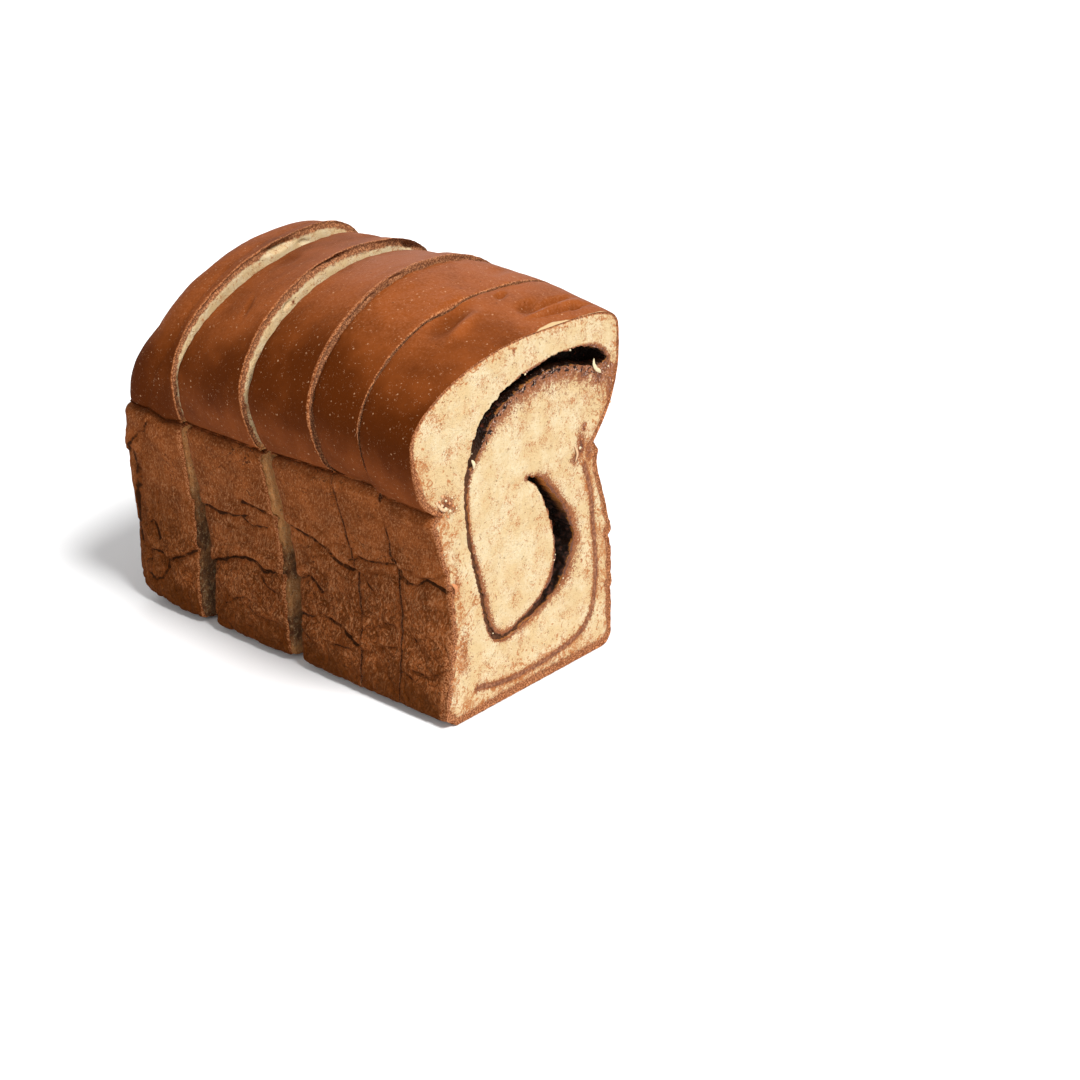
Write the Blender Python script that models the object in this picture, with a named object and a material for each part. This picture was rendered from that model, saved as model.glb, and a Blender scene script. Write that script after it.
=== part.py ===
"""Chocolate swirl milk bread: the standing loaf, cut into five slices.

Metres, +Z up. +X points out of the cut front face, -Y is the long wall that is
seen, and the origin is on the table under the middle of the loaf. Each slice
is one solid of bread with two channels through it: a wide one that holds the
chocolate swirl, and a thin one that holds a layer of chocolate dough.
"""

import math
from collections import namedtuple

import bmesh
import bpy
import numpy as np

# Where the loaf lies in its own frame
FRONT_X = 0.1040
MIDDLE_Y = 0.0020

# Pan-shaped lower part of the section
WALL_BASE_HALF = 0.0492
WALL_LIP_HALF = 0.0525
LIP_HEIGHT = 0.0960
BASE_EDGE_RADIUS = 0.0040
LIP_STEP_OUT = 0.0015
LIP_CREASE_DEPTH = 0.0030
LIP_CREASE_HEIGHT = 0.0030
FAR_FOLD_REACH_DOWN = 0.0300
FAR_FOLD_REACH_UP = 0.0060
FAR_UNDERSIDE_POWER = 2.3

# Domed upper part, as values along the loaf, read between stations
STATION_BEHIND_FRONT = (0.000, 0.030, 0.057, 0.095, 0.145, 0.205)
CREST_HEIGHT = (0.1520, 0.1610, 0.1670, 0.1650, 0.1630, 0.1630)
CREST_SIDE = (0.0030, 0.0030, 0.0080, 0.0100, 0.0300, 0.0320)
NEAR_BULGE_HALF = (0.0660, 0.0635, 0.0620, 0.0610, 0.0565, 0.0550)
NEAR_BULGE_HEIGHT = (0.1240, 0.1210, 0.1210, 0.1180, 0.1140, 0.1130)
FAR_BULGE_HALF = (0.0560, 0.0570, 0.0580, 0.0600, 0.0620, 0.0620)
FAR_BULGE_HEIGHT = (0.1360, 0.1360, 0.1350, 0.1340, 0.1320, 0.1320)
FAR_SQUARENESS = (4.20, 3.40, 2.40, 2.40, 2.40, 2.40)
WAIST_DEPTH = (0.0065, 0.0045, 0.0040, 0.0040, 0.0040, 0.0030)
FAR_FOLD_DEPTH = (0.0130, 0.0080, 0.0060, 0.0050, 0.0050, 0.0040)
NEAR_SQUARENESS = 1.85
UNDERSIDE_SQUARENESS = 1.80

# Cuts, from the front: place behind the front face at the lip, lean per metre
# of height, and how far the middle of the wall bows forwards
CUT_BEHIND_FRONT = (0.0000, 0.0300, 0.0570, 0.0990, 0.1490)
CUT_LEAN = (0.00, -0.03, -0.08, -0.08, 0.00)
CUT_BOW = (0.0000, 0.0020, 0.0030, -0.0010, -0.0030)
HEEL = len(CUT_BEHIND_FRONT) - 1

# Width of each cut at these heights, on the near side
GAP_HEIGHTS = (0.000, 0.028, 0.065, 0.098, 0.122, 0.160)
CUT_GAPS = (
    (0.0005, 0.0005, 0.0005, 0.0005, 0.0005, 0.0005),
    (0.0006, 0.0006, 0.0006, 0.0006, 0.0006, 0.0006),
    (0.0060, 0.0080, 0.0065, 0.0050, 0.0035, 0.0060),
    (0.0080, 0.0095, 0.0055, 0.0020, 0.0020, 0.0065),
)
GAP_LEFT_ON_FAR_SIDE = 0.40
GAP_BLEND = 0.010

# How much each slice's crest stands above the common dome, front and back
CREST_LIFT_FRONT = (0.0000, 0.0000, 0.0015, 0.0020, 0.0020)
CREST_LIFT_BACK = (0.0000, 0.0000, -0.0015, -0.0020, 0.0000)

# Rounded heel at the far end, at these heights: how far back its skin reaches,
# how long its rounding is, and how square
HEEL_HEIGHTS = (0.000, 0.030, 0.060, 0.096, 0.130, 0.165)
HEEL_END = (0.2010, 0.2085, 0.2085, 0.2010, 0.1940, 0.1950)
HEEL_ROUNDING = (0.0240, 0.0240, 0.0240, 0.0290, 0.0390, 0.0370)
HEEL_SQUARENESS = (3.2, 3.2, 3.2, 2.9, 2.6, 2.5)
HEEL_SHRINKS = (0.992, 0.965, 0.915, 0.82, 0.60, 0.32)
BODY_AXIS_HEIGHT = 0.0800

# Creases pressed into the walls: start and end as (behind front, height), depth
CREASE_WIDTH = 0.0034
CREASE_FADE_LOW = (0.004, 0.010)
CREASE_FADE_HIGH = (0.096, 0.086)
NEAR_CREASES = (
    ((0.000, 0.055), (0.027, 0.064), 0.0022),
    ((0.031, 0.061), (0.056, 0.063), 0.0018),
    ((0.056, 0.060), (0.074, 0.068), 0.0022),
    ((0.074, 0.068), (0.092, 0.076), 0.0020),
    ((0.058, 0.028), (0.090, 0.046), 0.0018),
    ((0.100, 0.066), (0.136, 0.072), 0.0024),
    ((0.100, 0.037), (0.136, 0.044), 0.0020),
    ((0.152, 0.036), (0.180, 0.037), 0.0022),
    ((0.004, 0.020), (0.030, 0.024), 0.0012),
)
FAR_CREASES = (
    ((0.002, 0.050), (0.040, 0.058), 0.0020),
    ((0.045, 0.066), (0.092, 0.058), 0.0022),
    ((0.060, 0.034), (0.092, 0.030), 0.0016),
    ((0.100, 0.060), (0.140, 0.066), 0.0022),
    ((0.104, 0.030), (0.138, 0.038), 0.0016),
    ((0.152, 0.052), (0.184, 0.048), 0.0020),
)

# Chocolate swirl on the front face: side, height, half width, from its inner
# tip round the core and over the top to its outer end
SWIRL = (
    (-0.0020, 0.0930, 0.0004),
    (0.0065, 0.0880, 0.0022),
    (0.0148, 0.0750, 0.0042),
    (0.0192, 0.0650, 0.0055),
    (0.0200, 0.0560, 0.0056),
    (0.0165, 0.0460, 0.0044),
    (0.0070, 0.0375, 0.0020),
    (-0.0070, 0.0315, 0.0011),
    (-0.0180, 0.0290, 0.0012),
    (-0.0250, 0.0345, 0.0012),
    (-0.0290, 0.0480, 0.0010),
    (-0.0333, 0.0660, 0.0009),
    (-0.0369, 0.0860, 0.0009),
    (-0.0362, 0.1035, 0.0012),
    (-0.0288, 0.1165, 0.0019),
    (-0.0196, 0.1268, 0.0020),
    (-0.0048, 0.1341, 0.0022),
    (0.0140, 0.1369, 0.0024),
    (0.0330, 0.1358, 0.0033),
    (0.0432, 0.1328, 0.0026),
    (0.0480, 0.1298, 0.0006),
)

# Thin layer of chocolate dough, from below the fold in the far wall, down
# beside that wall and along the base
LAYER_HALF_WIDTH = 0.0009
LAYER = (
    (0.0335, 0.0880),
    (0.0372, 0.0760),
    (0.0388, 0.0620),
    (0.0402, 0.0480),
    (0.0405, 0.0330),
    (0.0370, 0.0190),
    (0.0270, 0.0115),
    (0.0060, 0.0085),
    (-0.0160, 0.0085),
    (-0.0340, 0.0120),
)

# Channels and what fills them; where the swirl's band is wide it has shrunk
# back from the cut and left a hollow
FIT_GAP = 0.0003
CUTTER_OVERSHOOT = 0.0200
HOLLOW_RECESS = 0.0080
THIN_RECESS = 0.0003
HOLLOW_FROM_HALF_WIDTH = 0.0011
HOLLOW_FULL_HALF_WIDTH = 0.0020
HEEL_CHANNEL_LENGTH = 0.0300

# Fineness of the lofts
CORNER_STEPS = 2
WALL_STEPS = 14
FAR_WALL_STEPS = 9
UNDERSIDE_STEPS = 4
DOME_STEPS = 10
STEP_ALONG = 0.0082
CAP_SHRINKS = (0.80, 0.45)
STEPS_PER_POINT = 2

CRUST_COLOUR = (0.190, 0.060, 0.020, 1.0)
CRUMB_COLOUR = (0.800, 0.590, 0.330, 1.0)
FILLING_COLOUR = (0.012, 0.005, 0.003, 1.0)
DOUGH_COLOUR = (0.200, 0.075, 0.038, 1.0)
CRUST_ROUGHNESS = 0.50
CRUMB_ROUGHNESS = 0.90
FILLING_ROUGHNESS = 0.22
DOUGH_ROUGHNESS = 0.80


def clear_scene():
    for old in list(bpy.data.objects):
        bpy.data.objects.remove(old, do_unlink=True)


def make_collection(name):
    collection = bpy.data.collections.new(name)
    bpy.context.scene.collection.children.link(collection)
    return collection


def make_material(name, colour, roughness):
    material = bpy.data.materials.new(name)
    material.use_nodes = True
    shader = material.node_tree.nodes["Principled BSDF"]
    shader.inputs["Base Color"].default_value = colour
    shader.inputs["Roughness"].default_value = roughness
    shader.inputs["Metallic"].default_value = 0.0
    material.diffuse_color = colour
    return material


def along(values, behind):
    """A dome value at a distance behind the front face."""
    return np.interp(behind, STATION_BEHIND_FRONT, values)


def smoothstep(low, high, value):
    t = np.clip((value - low) / (high - low), 0.0, 1.0)
    return t * t * (3.0 - 2.0 * t)


def crease_depth(creases, behind, height):
    """How far the creases press a wall in: a bell across each straight crease."""
    total = np.zeros(np.shape(height))
    for (b0, h0), (b1, h1), depth in creases:
        run, rise = b1 - b0, h1 - h0
        t = ((behind - b0) * run + (height - h0) * rise) / (run**2 + rise**2)
        t = np.clip(t, 0.0, 1.0)
        away = np.hypot(behind - b0 - t * run, height - h0 - t * rise)
        total = np.maximum(total, depth * np.exp(-((away / CREASE_WIDTH) ** 2)))
    return total


def wall_half(height, behind):
    """Half width of the near wall: a tapered pan wall, drawn in at the waist."""
    share = np.clip(height / LIP_HEIGHT, 0.0, 1.0)
    taper = WALL_BASE_HALF + (WALL_LIP_HALF - WALL_BASE_HALF) * share
    return taper - along(WAIST_DEPTH, behind) * np.sin(math.pi * share) ** 2


def far_wall_half(height, behind):
    """Half width of the far wall, with the fold under its lip."""
    share = np.clip(height / LIP_HEIGHT, 0.0, 1.0)
    taper = WALL_BASE_HALF + (WALL_LIP_HALF - WALL_BASE_HALF) * share
    below = LIP_HEIGHT - height
    reach = np.where(below > 0.0, FAR_FOLD_REACH_DOWN, FAR_FOLD_REACH_UP)
    return taper - along(FAR_FOLD_DEPTH, behind) * np.exp(-((below / reach) ** 2))


def quadrant(half, rise, squareness, steps):
    """A quarter of a superellipse, from its side point to just short of its top."""
    angle = np.linspace(0.0, math.pi / 2.0, steps + 1)[:-1]
    power = 2.0 / squareness
    return half * np.cos(angle) ** power, rise * np.sin(angle) ** power


def outline(behind, lift):
    """The section at a distance behind the front: points (side, height), in
    order from the near end of the base up over the dome and down the far wall."""
    crest = float(along(CREST_HEIGHT, behind)) + lift
    crest_side = float(along(CREST_SIDE, behind))
    near_half = float(along(NEAR_BULGE_HALF, behind))
    near_height = float(along(NEAR_BULGE_HEIGHT, behind))
    far_half = float(along(FAR_BULGE_HALF, behind))
    far_height = float(along(FAR_BULGE_HEIGHT, behind))

    corner = np.linspace(0.0, math.pi / 2.0, CORNER_STEPS + 1)
    corner_in = BASE_EDGE_RADIUS * (1.0 - np.sin(corner))
    corner_up = BASE_EDGE_RADIUS * (1.0 - np.cos(corner))
    near_corner = np.column_stack([-(WALL_BASE_HALF - corner_in), corner_up])

    wall_top = LIP_HEIGHT - LIP_CREASE_HEIGHT
    heights = np.linspace(BASE_EDGE_RADIUS, wall_top, WALL_STEPS + 1)[1:]
    near_wall = np.column_stack([-wall_half(heights, behind), heights])

    crease_half = WALL_LIP_HALF - LIP_CREASE_DEPTH
    crease = np.array([[-crease_half, LIP_HEIGHT - LIP_CREASE_HEIGHT / 3.0]])

    overhang, drop = near_half - WALL_LIP_HALF, near_height - LIP_HEIGHT
    out, down = quadrant(overhang, drop, UNDERSIDE_SQUARENESS, UNDERSIDE_STEPS)
    underside = np.column_stack([-(WALL_LIP_HALF + out), near_height - down])[::-1]
    lip = np.array([[-(WALL_LIP_HALF + LIP_STEP_OUT), LIP_HEIGHT]])

    out, up = quadrant(near_half + crest_side, crest - near_height, NEAR_SQUARENESS, DOME_STEPS)
    near_dome = np.column_stack([crest_side - out, near_height + up])[1:]

    squareness = float(along(FAR_SQUARENESS, behind))
    out, up = quadrant(far_half - crest_side, crest - far_height, squareness, DOME_STEPS)
    far_dome = np.column_stack([crest_side + out, far_height + up])[::-1]
    top = np.array([[crest_side, crest]])

    far_lip_half = far_wall_half(LIP_HEIGHT, behind)
    share = np.linspace(0.0, 1.0, UNDERSIDE_STEPS + 2)[1:]
    far_side = far_half - (far_half - far_lip_half) * share**FAR_UNDERSIDE_POWER
    far_under = np.column_stack([far_side, far_height - (far_height - LIP_HEIGHT) * share])

    heights = np.linspace(LIP_HEIGHT, BASE_EDGE_RADIUS, FAR_WALL_STEPS + 1)[1:]
    far_wall = np.column_stack([far_wall_half(heights, behind), heights])
    far_corner = np.column_stack([WALL_BASE_HALF - corner_in, corner_up])[::-1][1:]

    return np.vstack(
        [
            near_corner, near_wall, crease, lip, underside, near_dome, top,
            far_dome, far_under, far_wall, far_corner,
        ]
    )


def press_creases(points, behind):
    """The same section with the wall creases pressed into both sides."""
    side, height = points[:, 0], points[:, 1]
    on_wall = smoothstep(*CREASE_FADE_LOW, height) * smoothstep(*CREASE_FADE_HIGH, height)
    near = crease_depth(NEAR_CREASES, behind, height) * on_wall * (side < 0.0)
    far = crease_depth(FAR_CREASES, behind, height) * on_wall * (side > 0.0)
    return np.column_stack([side + near - far, height])


def cut_behind(cut, height):
    """How far behind the front a knife cut lies at a height of the section."""
    rise = height - LIP_HEIGHT
    wall_share = np.clip(height / LIP_HEIGHT, 0.0, 1.0)
    bow = CUT_BOW[cut] * np.sin(math.pi * wall_share)
    return CUT_BEHIND_FRONT[cut] - CUT_LEAN[cut] * rise - bow


def gap_width(cut, side, height):
    """Width of the open cut, which closes towards the far wall below the lip."""
    width = np.interp(height, GAP_HEIGHTS, CUT_GAPS[cut - 1])
    across = smoothstep(-WALL_BASE_HALF, WALL_BASE_HALF, side)
    below_lip = smoothstep(LIP_HEIGHT + GAP_BLEND, LIP_HEIGHT - GAP_BLEND, height)
    keep = 1.0 - (1.0 - GAP_LEFT_ON_FAR_SIDE) * across * below_lip
    return np.maximum(width * keep, FIT_GAP)


def back_face(index, side, height):
    """The back of a slice: the cut behind it, less the open gap."""
    return cut_behind(index + 1, height) - gap_width(index + 1, side, height)


def heel_rounding(height):
    return np.interp(height, HEEL_HEIGHTS, HEEL_ROUNDING)


def heel_start(height):
    """Where the heel starts to round over at a height."""
    return np.interp(height, HEEL_HEIGHTS, HEEL_END) - heel_rounding(height)


def place(points, behind):
    """Section points and their distance behind the front, as 3D points."""
    return np.column_stack([FRONT_X - behind, points[:, 0] + MIDDLE_Y, points[:, 1]])


def section_centre(points):
    """A point well inside the section, towards which its caps close."""
    return np.array([points[:, 0].mean(), BODY_AXIS_HEIGHT])


# Places of the two bread materials on a slice
CRUST_SLOT = 0
CRUMB_SLOT = 1

# A slice's skin: its rings from front to back, the points that close its two
# ends, and how many of the rings belong to each end
Skin = namedtuple("Skin", "rings front_point back_point front_rings back_rings")


def cap_rings(points, face):
    """Rings that shrink towards the middle of a cut face, outermost first, and
    the point in its middle."""
    centre = section_centre(points)
    rings = []
    for shrink in CAP_SHRINKS:
        inner = centre + (points - centre) * shrink
        rings.append(place(inner, face(inner[:, 0], inner[:, 1])))
    middle = centre[None, :]
    return rings, place(middle, face(middle[:, 0], middle[:, 1]))[0]


def heel_rings(points):
    """Rings that round the heel over as a superellipse, and its end point."""
    centre = section_centre(points)
    rings = []
    for shrink in HEEL_SHRINKS:
        inner = centre + (points - centre) * shrink
        power = np.interp(inner[:, 1], HEEL_HEIGHTS, HEEL_SQUARENESS)
        reach = heel_rounding(inner[:, 1]) * (1.0 - shrink**power) ** (1.0 / power)
        rings.append(place(inner, heel_start(inner[:, 1]) + reach))
    middle = centre[None, :]
    return rings, place(middle, heel_start(middle[:, 1]) + heel_rounding(middle[:, 1]))[0]


def slice_skin(index):
    """The skin of one slice: its sections from the cut in front of it to the cut
    behind it, or to where the heel rounds over."""
    front_at = CUT_BEHIND_FRONT[index]
    is_heel = index == HEEL
    back_at = float(heel_start(LIP_HEIGHT)) if is_heel else CUT_BEHIND_FRONT[index + 1]
    steps = max(3, round((back_at - front_at) / STEP_ALONG))
    sections, rings = [], []
    for t in np.linspace(0.0, 1.0, steps + 1):
        lift = CREST_LIFT_FRONT[index] * (1.0 - t) + CREST_LIFT_BACK[index] * t
        points = outline(front_at + (back_at - front_at) * t, lift)
        side, height = points.T
        front = cut_behind(index, height)
        back = heel_start(height) if is_heel else back_face(index, side, height)
        behind = front + (back - front) * t
        sections.append(press_creases(points, behind))
        rings.append(place(sections[-1], behind))
    front_caps, front_point = cap_rings(sections[0], lambda s, h: cut_behind(index, h))
    if is_heel:
        back_caps, back_point = heel_rings(sections[-1])
    else:
        back_caps, back_point = cap_rings(sections[-1], lambda s, h: back_face(index, s, h))
    rings = front_caps[::-1] + rings + back_caps
    return Skin(rings, front_point, back_point, len(front_caps), len(back_caps))


def loft(name, skin, back_slot):
    """The mesh of a skin: bands of quads between its rings, and a fan of
    triangles at each end. Its side is crust, its front is crumb, and its back
    has the material of back_slot."""
    shell = bmesh.new()
    grid = [[shell.verts.new(point) for point in ring] for ring in skin.rings]
    count = len(grid[0])
    first_side = skin.front_rings
    last_side = len(grid) - 1 - skin.back_rings
    for level, (ahead, behind) in enumerate(zip(grid, grid[1:])):
        slot = CRUMB_SLOT if level < first_side else CRUST_SLOT if level < last_side else back_slot
        for j in range(count):
            k = (j + 1) % count
            face = shell.faces.new((ahead[j], behind[j], behind[k], ahead[k]))
            face.material_index = slot
    ends = ((grid[0], skin.front_point, CRUMB_SLOT), (grid[-1], skin.back_point, back_slot))
    for ring, end, slot in ends:
        point = shell.verts.new(end)
        for j in range(count):
            face = shell.faces.new((point, ring[j], ring[(j + 1) % count]))
            face.material_index = slot
    for face in shell.faces:
        face.smooth = face.material_index == CRUST_SLOT
    bmesh.ops.recalc_face_normals(shell, faces=shell.faces)
    mesh = bpy.data.meshes.new(name)
    shell.to_mesh(mesh)
    shell.free()
    return mesh


def smooth_curve(points, steps):
    """A Catmull-Rom curve through the points, with even steps on each span."""
    points = np.asarray(points)
    ends = np.vstack([2 * points[0] - points[1], points, 2 * points[-1] - points[-2]])
    t = np.linspace(0.0, 1.0, steps, endpoint=False)[:, None]
    spans = []
    for i in range(len(points) - 1):
        a, b, c, d = ends[i : i + 4]
        spans.append(
            0.5 * (2 * b + (c - a) * t + (2 * a - 5 * b + 4 * c - d) * t**2
                   + (3 * b - a - 3 * c + d) * t**3)
        )
    return np.vstack(spans + [points[-1:]])


def band(centre, half):
    """The closed outline of a band: out along one side and back on the other."""
    tangent = np.gradient(centre, axis=0)
    tangent /= np.linalg.norm(tangent, axis=1)[:, None]
    normal = np.column_stack([-tangent[:, 1], tangent[:, 0]])
    left = centre + normal * half[:, None]
    right = centre - normal * half[:, None]
    return np.vstack([left, right[::-1]])


def raised(centre, behind, lift):
    """The swirl of one slice: stretched above the lip as far as its dome is."""
    crest = float(along(CREST_HEIGHT, behind)) + min(lift, 0.0)
    stretch = (crest - LIP_HEIGHT) / (CREST_HEIGHT[0] - LIP_HEIGHT)
    side, height = centre[:, 0], centre[:, 1]
    high = np.where(height > LIP_HEIGHT, LIP_HEIGHT + (height - LIP_HEIGHT) * stretch, height)
    return np.column_stack([side, high])


def extruded(name, points, front_behind, back_behind, material, collection):
    """A flat outline as a 2D curve with thickness, made a mesh whose two ends
    are then moved to the given distances behind the front face."""
    flat = bpy.data.curves.new(name, "CURVE")
    flat.dimensions = "2D"
    flat.fill_mode = "BOTH"
    flat.extrude = 1.0
    spline = flat.splines.new("POLY")
    spline.points.add(len(points) - 1)
    for knot, (side, height) in zip(spline.points, points):
        knot.co = (side, height, 0.0, 1.0)
    spline.use_cyclic_u = True
    holder = bpy.data.objects.new(name + "_outline", flat)
    collection.objects.link(holder)
    bpy.context.view_layer.update()
    evaluated = holder.evaluated_get(bpy.context.evaluated_depsgraph_get())
    mesh = bpy.data.meshes.new_from_object(evaluated)
    bpy.data.objects.remove(holder, do_unlink=True)
    body = bmesh.new()
    body.from_mesh(mesh)
    bmesh.ops.remove_doubles(body, verts=body.verts, dist=0.00001)
    for vert in body.verts:
        side, height, end = vert.co
        behind = front_behind(side, height) if end > 0.0 else back_behind(side, height)
        vert.co = (FRONT_X - behind, side + MIDDLE_Y, height)
    body.to_mesh(mesh)
    body.free()
    mesh.name = name
    mesh.materials.clear()
    mesh.materials.append(material)
    solid = bpy.data.objects.new(name, mesh)
    collection.objects.link(solid)
    return solid


def recess_at(centre, half):
    """How deep the filling lies behind the cut: deep where its band is wide."""
    wide = smoothstep(HOLLOW_FROM_HALF_WIDTH, HOLLOW_FULL_HALF_WIDTH, half)
    depth = THIN_RECESS + (HOLLOW_RECESS - THIN_RECESS) * wide

    def recess(side, height):
        nearest = np.argmin(np.hypot(centre[:, 0] - side, centre[:, 1] - height))
        return float(depth[nearest])

    return recess


def channel_back(index):
    """The back limit of a slice's channels: its back face, or a stop in the heel."""
    if index == HEEL:
        return lambda side, height: CUT_BEHIND_FRONT[index] + HEEL_CHANNEL_LENGTH
    return lambda side, height: float(back_face(index, side, height))


def cut_channel(index, solid, name, centre, half, material, cutters):
    """Cuts a band-shaped channel through a slice, or into the heel."""
    back = channel_back(index)
    past = FIT_GAP if index == HEEL else CUTTER_OVERSHOOT
    cutter = extruded(
        name + "_channel",
        band(centre, half + FIT_GAP),
        lambda side, height: CUT_BEHIND_FRONT[index] - CUTTER_OVERSHOOT,
        lambda side, height: back(side, height) + past,
        material,
        cutters,
    )
    cutter.hide_render = True
    cutter.display_type = "WIRE"
    cut = solid.modifiers.new(name + "_channel", "BOOLEAN")
    cut.operation = "DIFFERENCE"
    cut.solver = "MANIFOLD"
    cut.object = cutter


def lay_filling(index, name, centre, half, recess, material, parts):
    """The filling of a channel, a little back from both cut faces."""
    back = channel_back(index)
    extruded(
        name,
        band(centre, half),
        lambda side, height: float(cut_behind(index, height)) + recess(side, height),
        lambda side, height: back(side, height) - THIN_RECESS,
        material,
        parts,
    )


def build_slice(index, materials, parts, cutters):
    """One slice of bread with its swirl and its thin layer. Slices are numbered
    from the heel, so that the cut front face is on the last one."""
    number = HEEL + 1 - index
    back_slot = CRUST_SLOT if index == HEEL else CRUMB_SLOT
    mesh = loft(f"slice_{number}", slice_skin(index), back_slot)
    mesh.materials.append(materials["crust"])
    mesh.materials.append(materials["crumb"])
    solid = bpy.data.objects.new(f"slice_{number}", mesh)
    parts.objects.link(solid)

    swirl = smooth_curve(SWIRL, STEPS_PER_POINT)
    lift = min(CREST_LIFT_FRONT[index], CREST_LIFT_BACK[index])
    centre = raised(swirl[:, :2], CUT_BEHIND_FRONT[index], lift)
    half = swirl[:, 2]
    cut_channel(index, solid, f"swirl_{number}", centre, half, materials["crumb"], cutters)
    recess = recess_at(centre, half)
    lay_filling(index, f"swirl_{number}", centre, half, recess, materials["filling"], parts)

    layer = smooth_curve(LAYER, STEPS_PER_POINT)
    half = np.full(len(layer), LAYER_HALF_WIDTH)
    cut_channel(index, solid, f"layer_{number}", layer, half, materials["crumb"], cutters)
    recess = recess_at(layer, half)
    lay_filling(index, f"layer_{number}", layer, half, recess, materials["dough"], parts)


def main():
    clear_scene()
    parts = make_collection("chocolate_shokupan")
    cutters = make_collection("cutters")
    materials = {
        "crust": make_material("crust", CRUST_COLOUR, CRUST_ROUGHNESS),
        "crumb": make_material("crumb", CRUMB_COLOUR, CRUMB_ROUGHNESS),
        "filling": make_material("filling", FILLING_COLOUR, FILLING_ROUGHNESS),
        "dough": make_material("dough", DOUGH_COLOUR, DOUGH_ROUGHNESS),
    }
    for index in range(HEEL + 1):
        build_slice(index, materials, parts, cutters)


main()
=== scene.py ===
"""Chocolate swirl milk bread: the looks of the standing loaf, round its solids.

Metres, +Z up. +X points out of the cut front face and -Y is the long wall that
the camera sees. A place on the loaf is given as how far behind the front face
it lies, its side (from the near wall to the far one) and its height. Slices
are numbered from the heel, and are made from the front one back.
"""

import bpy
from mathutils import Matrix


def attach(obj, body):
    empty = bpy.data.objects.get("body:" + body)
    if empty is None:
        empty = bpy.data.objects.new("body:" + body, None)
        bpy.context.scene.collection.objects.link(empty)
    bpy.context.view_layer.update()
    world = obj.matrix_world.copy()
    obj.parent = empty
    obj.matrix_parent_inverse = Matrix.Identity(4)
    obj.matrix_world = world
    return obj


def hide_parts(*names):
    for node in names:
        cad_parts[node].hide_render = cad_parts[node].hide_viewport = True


bl_info = {
    "name": "Chocolate Swirl Loaf",
    "version": (1, 0, 0),
    "blender": (4, 5, 0),
    "location": "3D View > Sidebar > Loaf",
    "description": "Crust, crumb and chocolate of a sliced swirl loaf",
    "category": "Object",
}

import math

import bpy
import numpy as np
from mathutils import Matrix, Vector

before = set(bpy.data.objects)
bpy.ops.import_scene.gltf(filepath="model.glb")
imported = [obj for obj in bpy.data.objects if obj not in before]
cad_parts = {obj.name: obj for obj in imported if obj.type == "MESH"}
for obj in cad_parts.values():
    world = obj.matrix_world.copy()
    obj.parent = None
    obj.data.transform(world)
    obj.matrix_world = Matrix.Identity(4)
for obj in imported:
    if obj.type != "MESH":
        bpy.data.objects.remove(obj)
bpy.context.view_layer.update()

MM = 0.001

# The loaf's own frame
FRONT_X = 0.104
MIDDLE_Y = 0.002

# Section, as in the solids: pan-shaped below the lip, domed above it
WALL_BASE_HALF = 0.0492
WALL_LIP_HALF = 0.0525
LIP_HEIGHT = 0.096
BASE_EDGE_RADIUS = 0.004
LIP_STEP_OUT = 0.0015
LIP_CREASE_DEPTH = 0.003
LIP_CREASE_HEIGHT = 0.003
FAR_FOLD_REACH_DOWN = 0.03
FAR_FOLD_REACH_UP = 0.006
FAR_UNDERSIDE_POWER = 2.3
NEAR_SQUARENESS = 1.85
UNDERSIDE_SQUARENESS = 1.8
STATIONS = (0.0, 0.03, 0.057, 0.095, 0.145, 0.205)
CREST_HEIGHT = (0.152, 0.161, 0.167, 0.165, 0.163, 0.163)
CREST_SIDE = (0.003, 0.003, 0.008, 0.01, 0.03, 0.032)
NEAR_BULGE_HALF = (0.066, 0.0635, 0.062, 0.061, 0.0565, 0.055)
NEAR_BULGE_HEIGHT = (0.124, 0.121, 0.121, 0.118, 0.114, 0.113)
FAR_BULGE_HALF = (0.056, 0.057, 0.058, 0.06, 0.062, 0.062)
FAR_BULGE_HEIGHT = (0.136, 0.136, 0.135, 0.134, 0.132, 0.132)
FAR_SQUARENESS = (4.2, 3.4, 2.4, 2.4, 2.4, 2.4)
WAIST_DEPTH = (0.0065, 0.0045, 0.004, 0.004, 0.004, 0.003)
FAR_FOLD_DEPTH = (0.013, 0.008, 0.006, 0.005, 0.005, 0.004)

# How many points the section's lines have, before they are spaced evenly
CORNER_POINTS = 7
WALL_POINTS = 60
NEAR_UNDERSIDE_POINTS = 30
FAR_UNDERSIDE_POINTS = 40
DOME_POINTS = 90

# Cuts between slices, as in the solids
CUT_BEHIND_FRONT = (0.0, 0.03, 0.057, 0.099, 0.149)
CUT_LEAN = (0.0, -0.03, -0.08, -0.08, 0.0)
CUT_BOW = (0.0, 0.002, 0.003, -0.001, -0.003)
GAP_HEIGHTS = (0.0, 0.028, 0.065, 0.098, 0.122, 0.16)
CUT_GAPS = (
    (0.0005, 0.0005, 0.0005, 0.0005, 0.0005, 0.0005),
    (0.0006, 0.0006, 0.0006, 0.0006, 0.0006, 0.0006),
    (0.006, 0.008, 0.0065, 0.005, 0.0035, 0.006),
    (0.008, 0.0095, 0.0055, 0.002, 0.002, 0.0065),
)
GAP_LEFT_ON_FAR_SIDE = 0.4
GAP_BLEND = 0.01
FIT_GAP = 0.0003
CREST_LIFT_FRONT = (0.0, 0.0, 0.0015, 0.002, 0.002)
CREST_LIFT_BACK = (0.0, 0.0, -0.0015, -0.002, 0.0)
HEEL = len(CUT_BEHIND_FRONT) - 1

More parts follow.
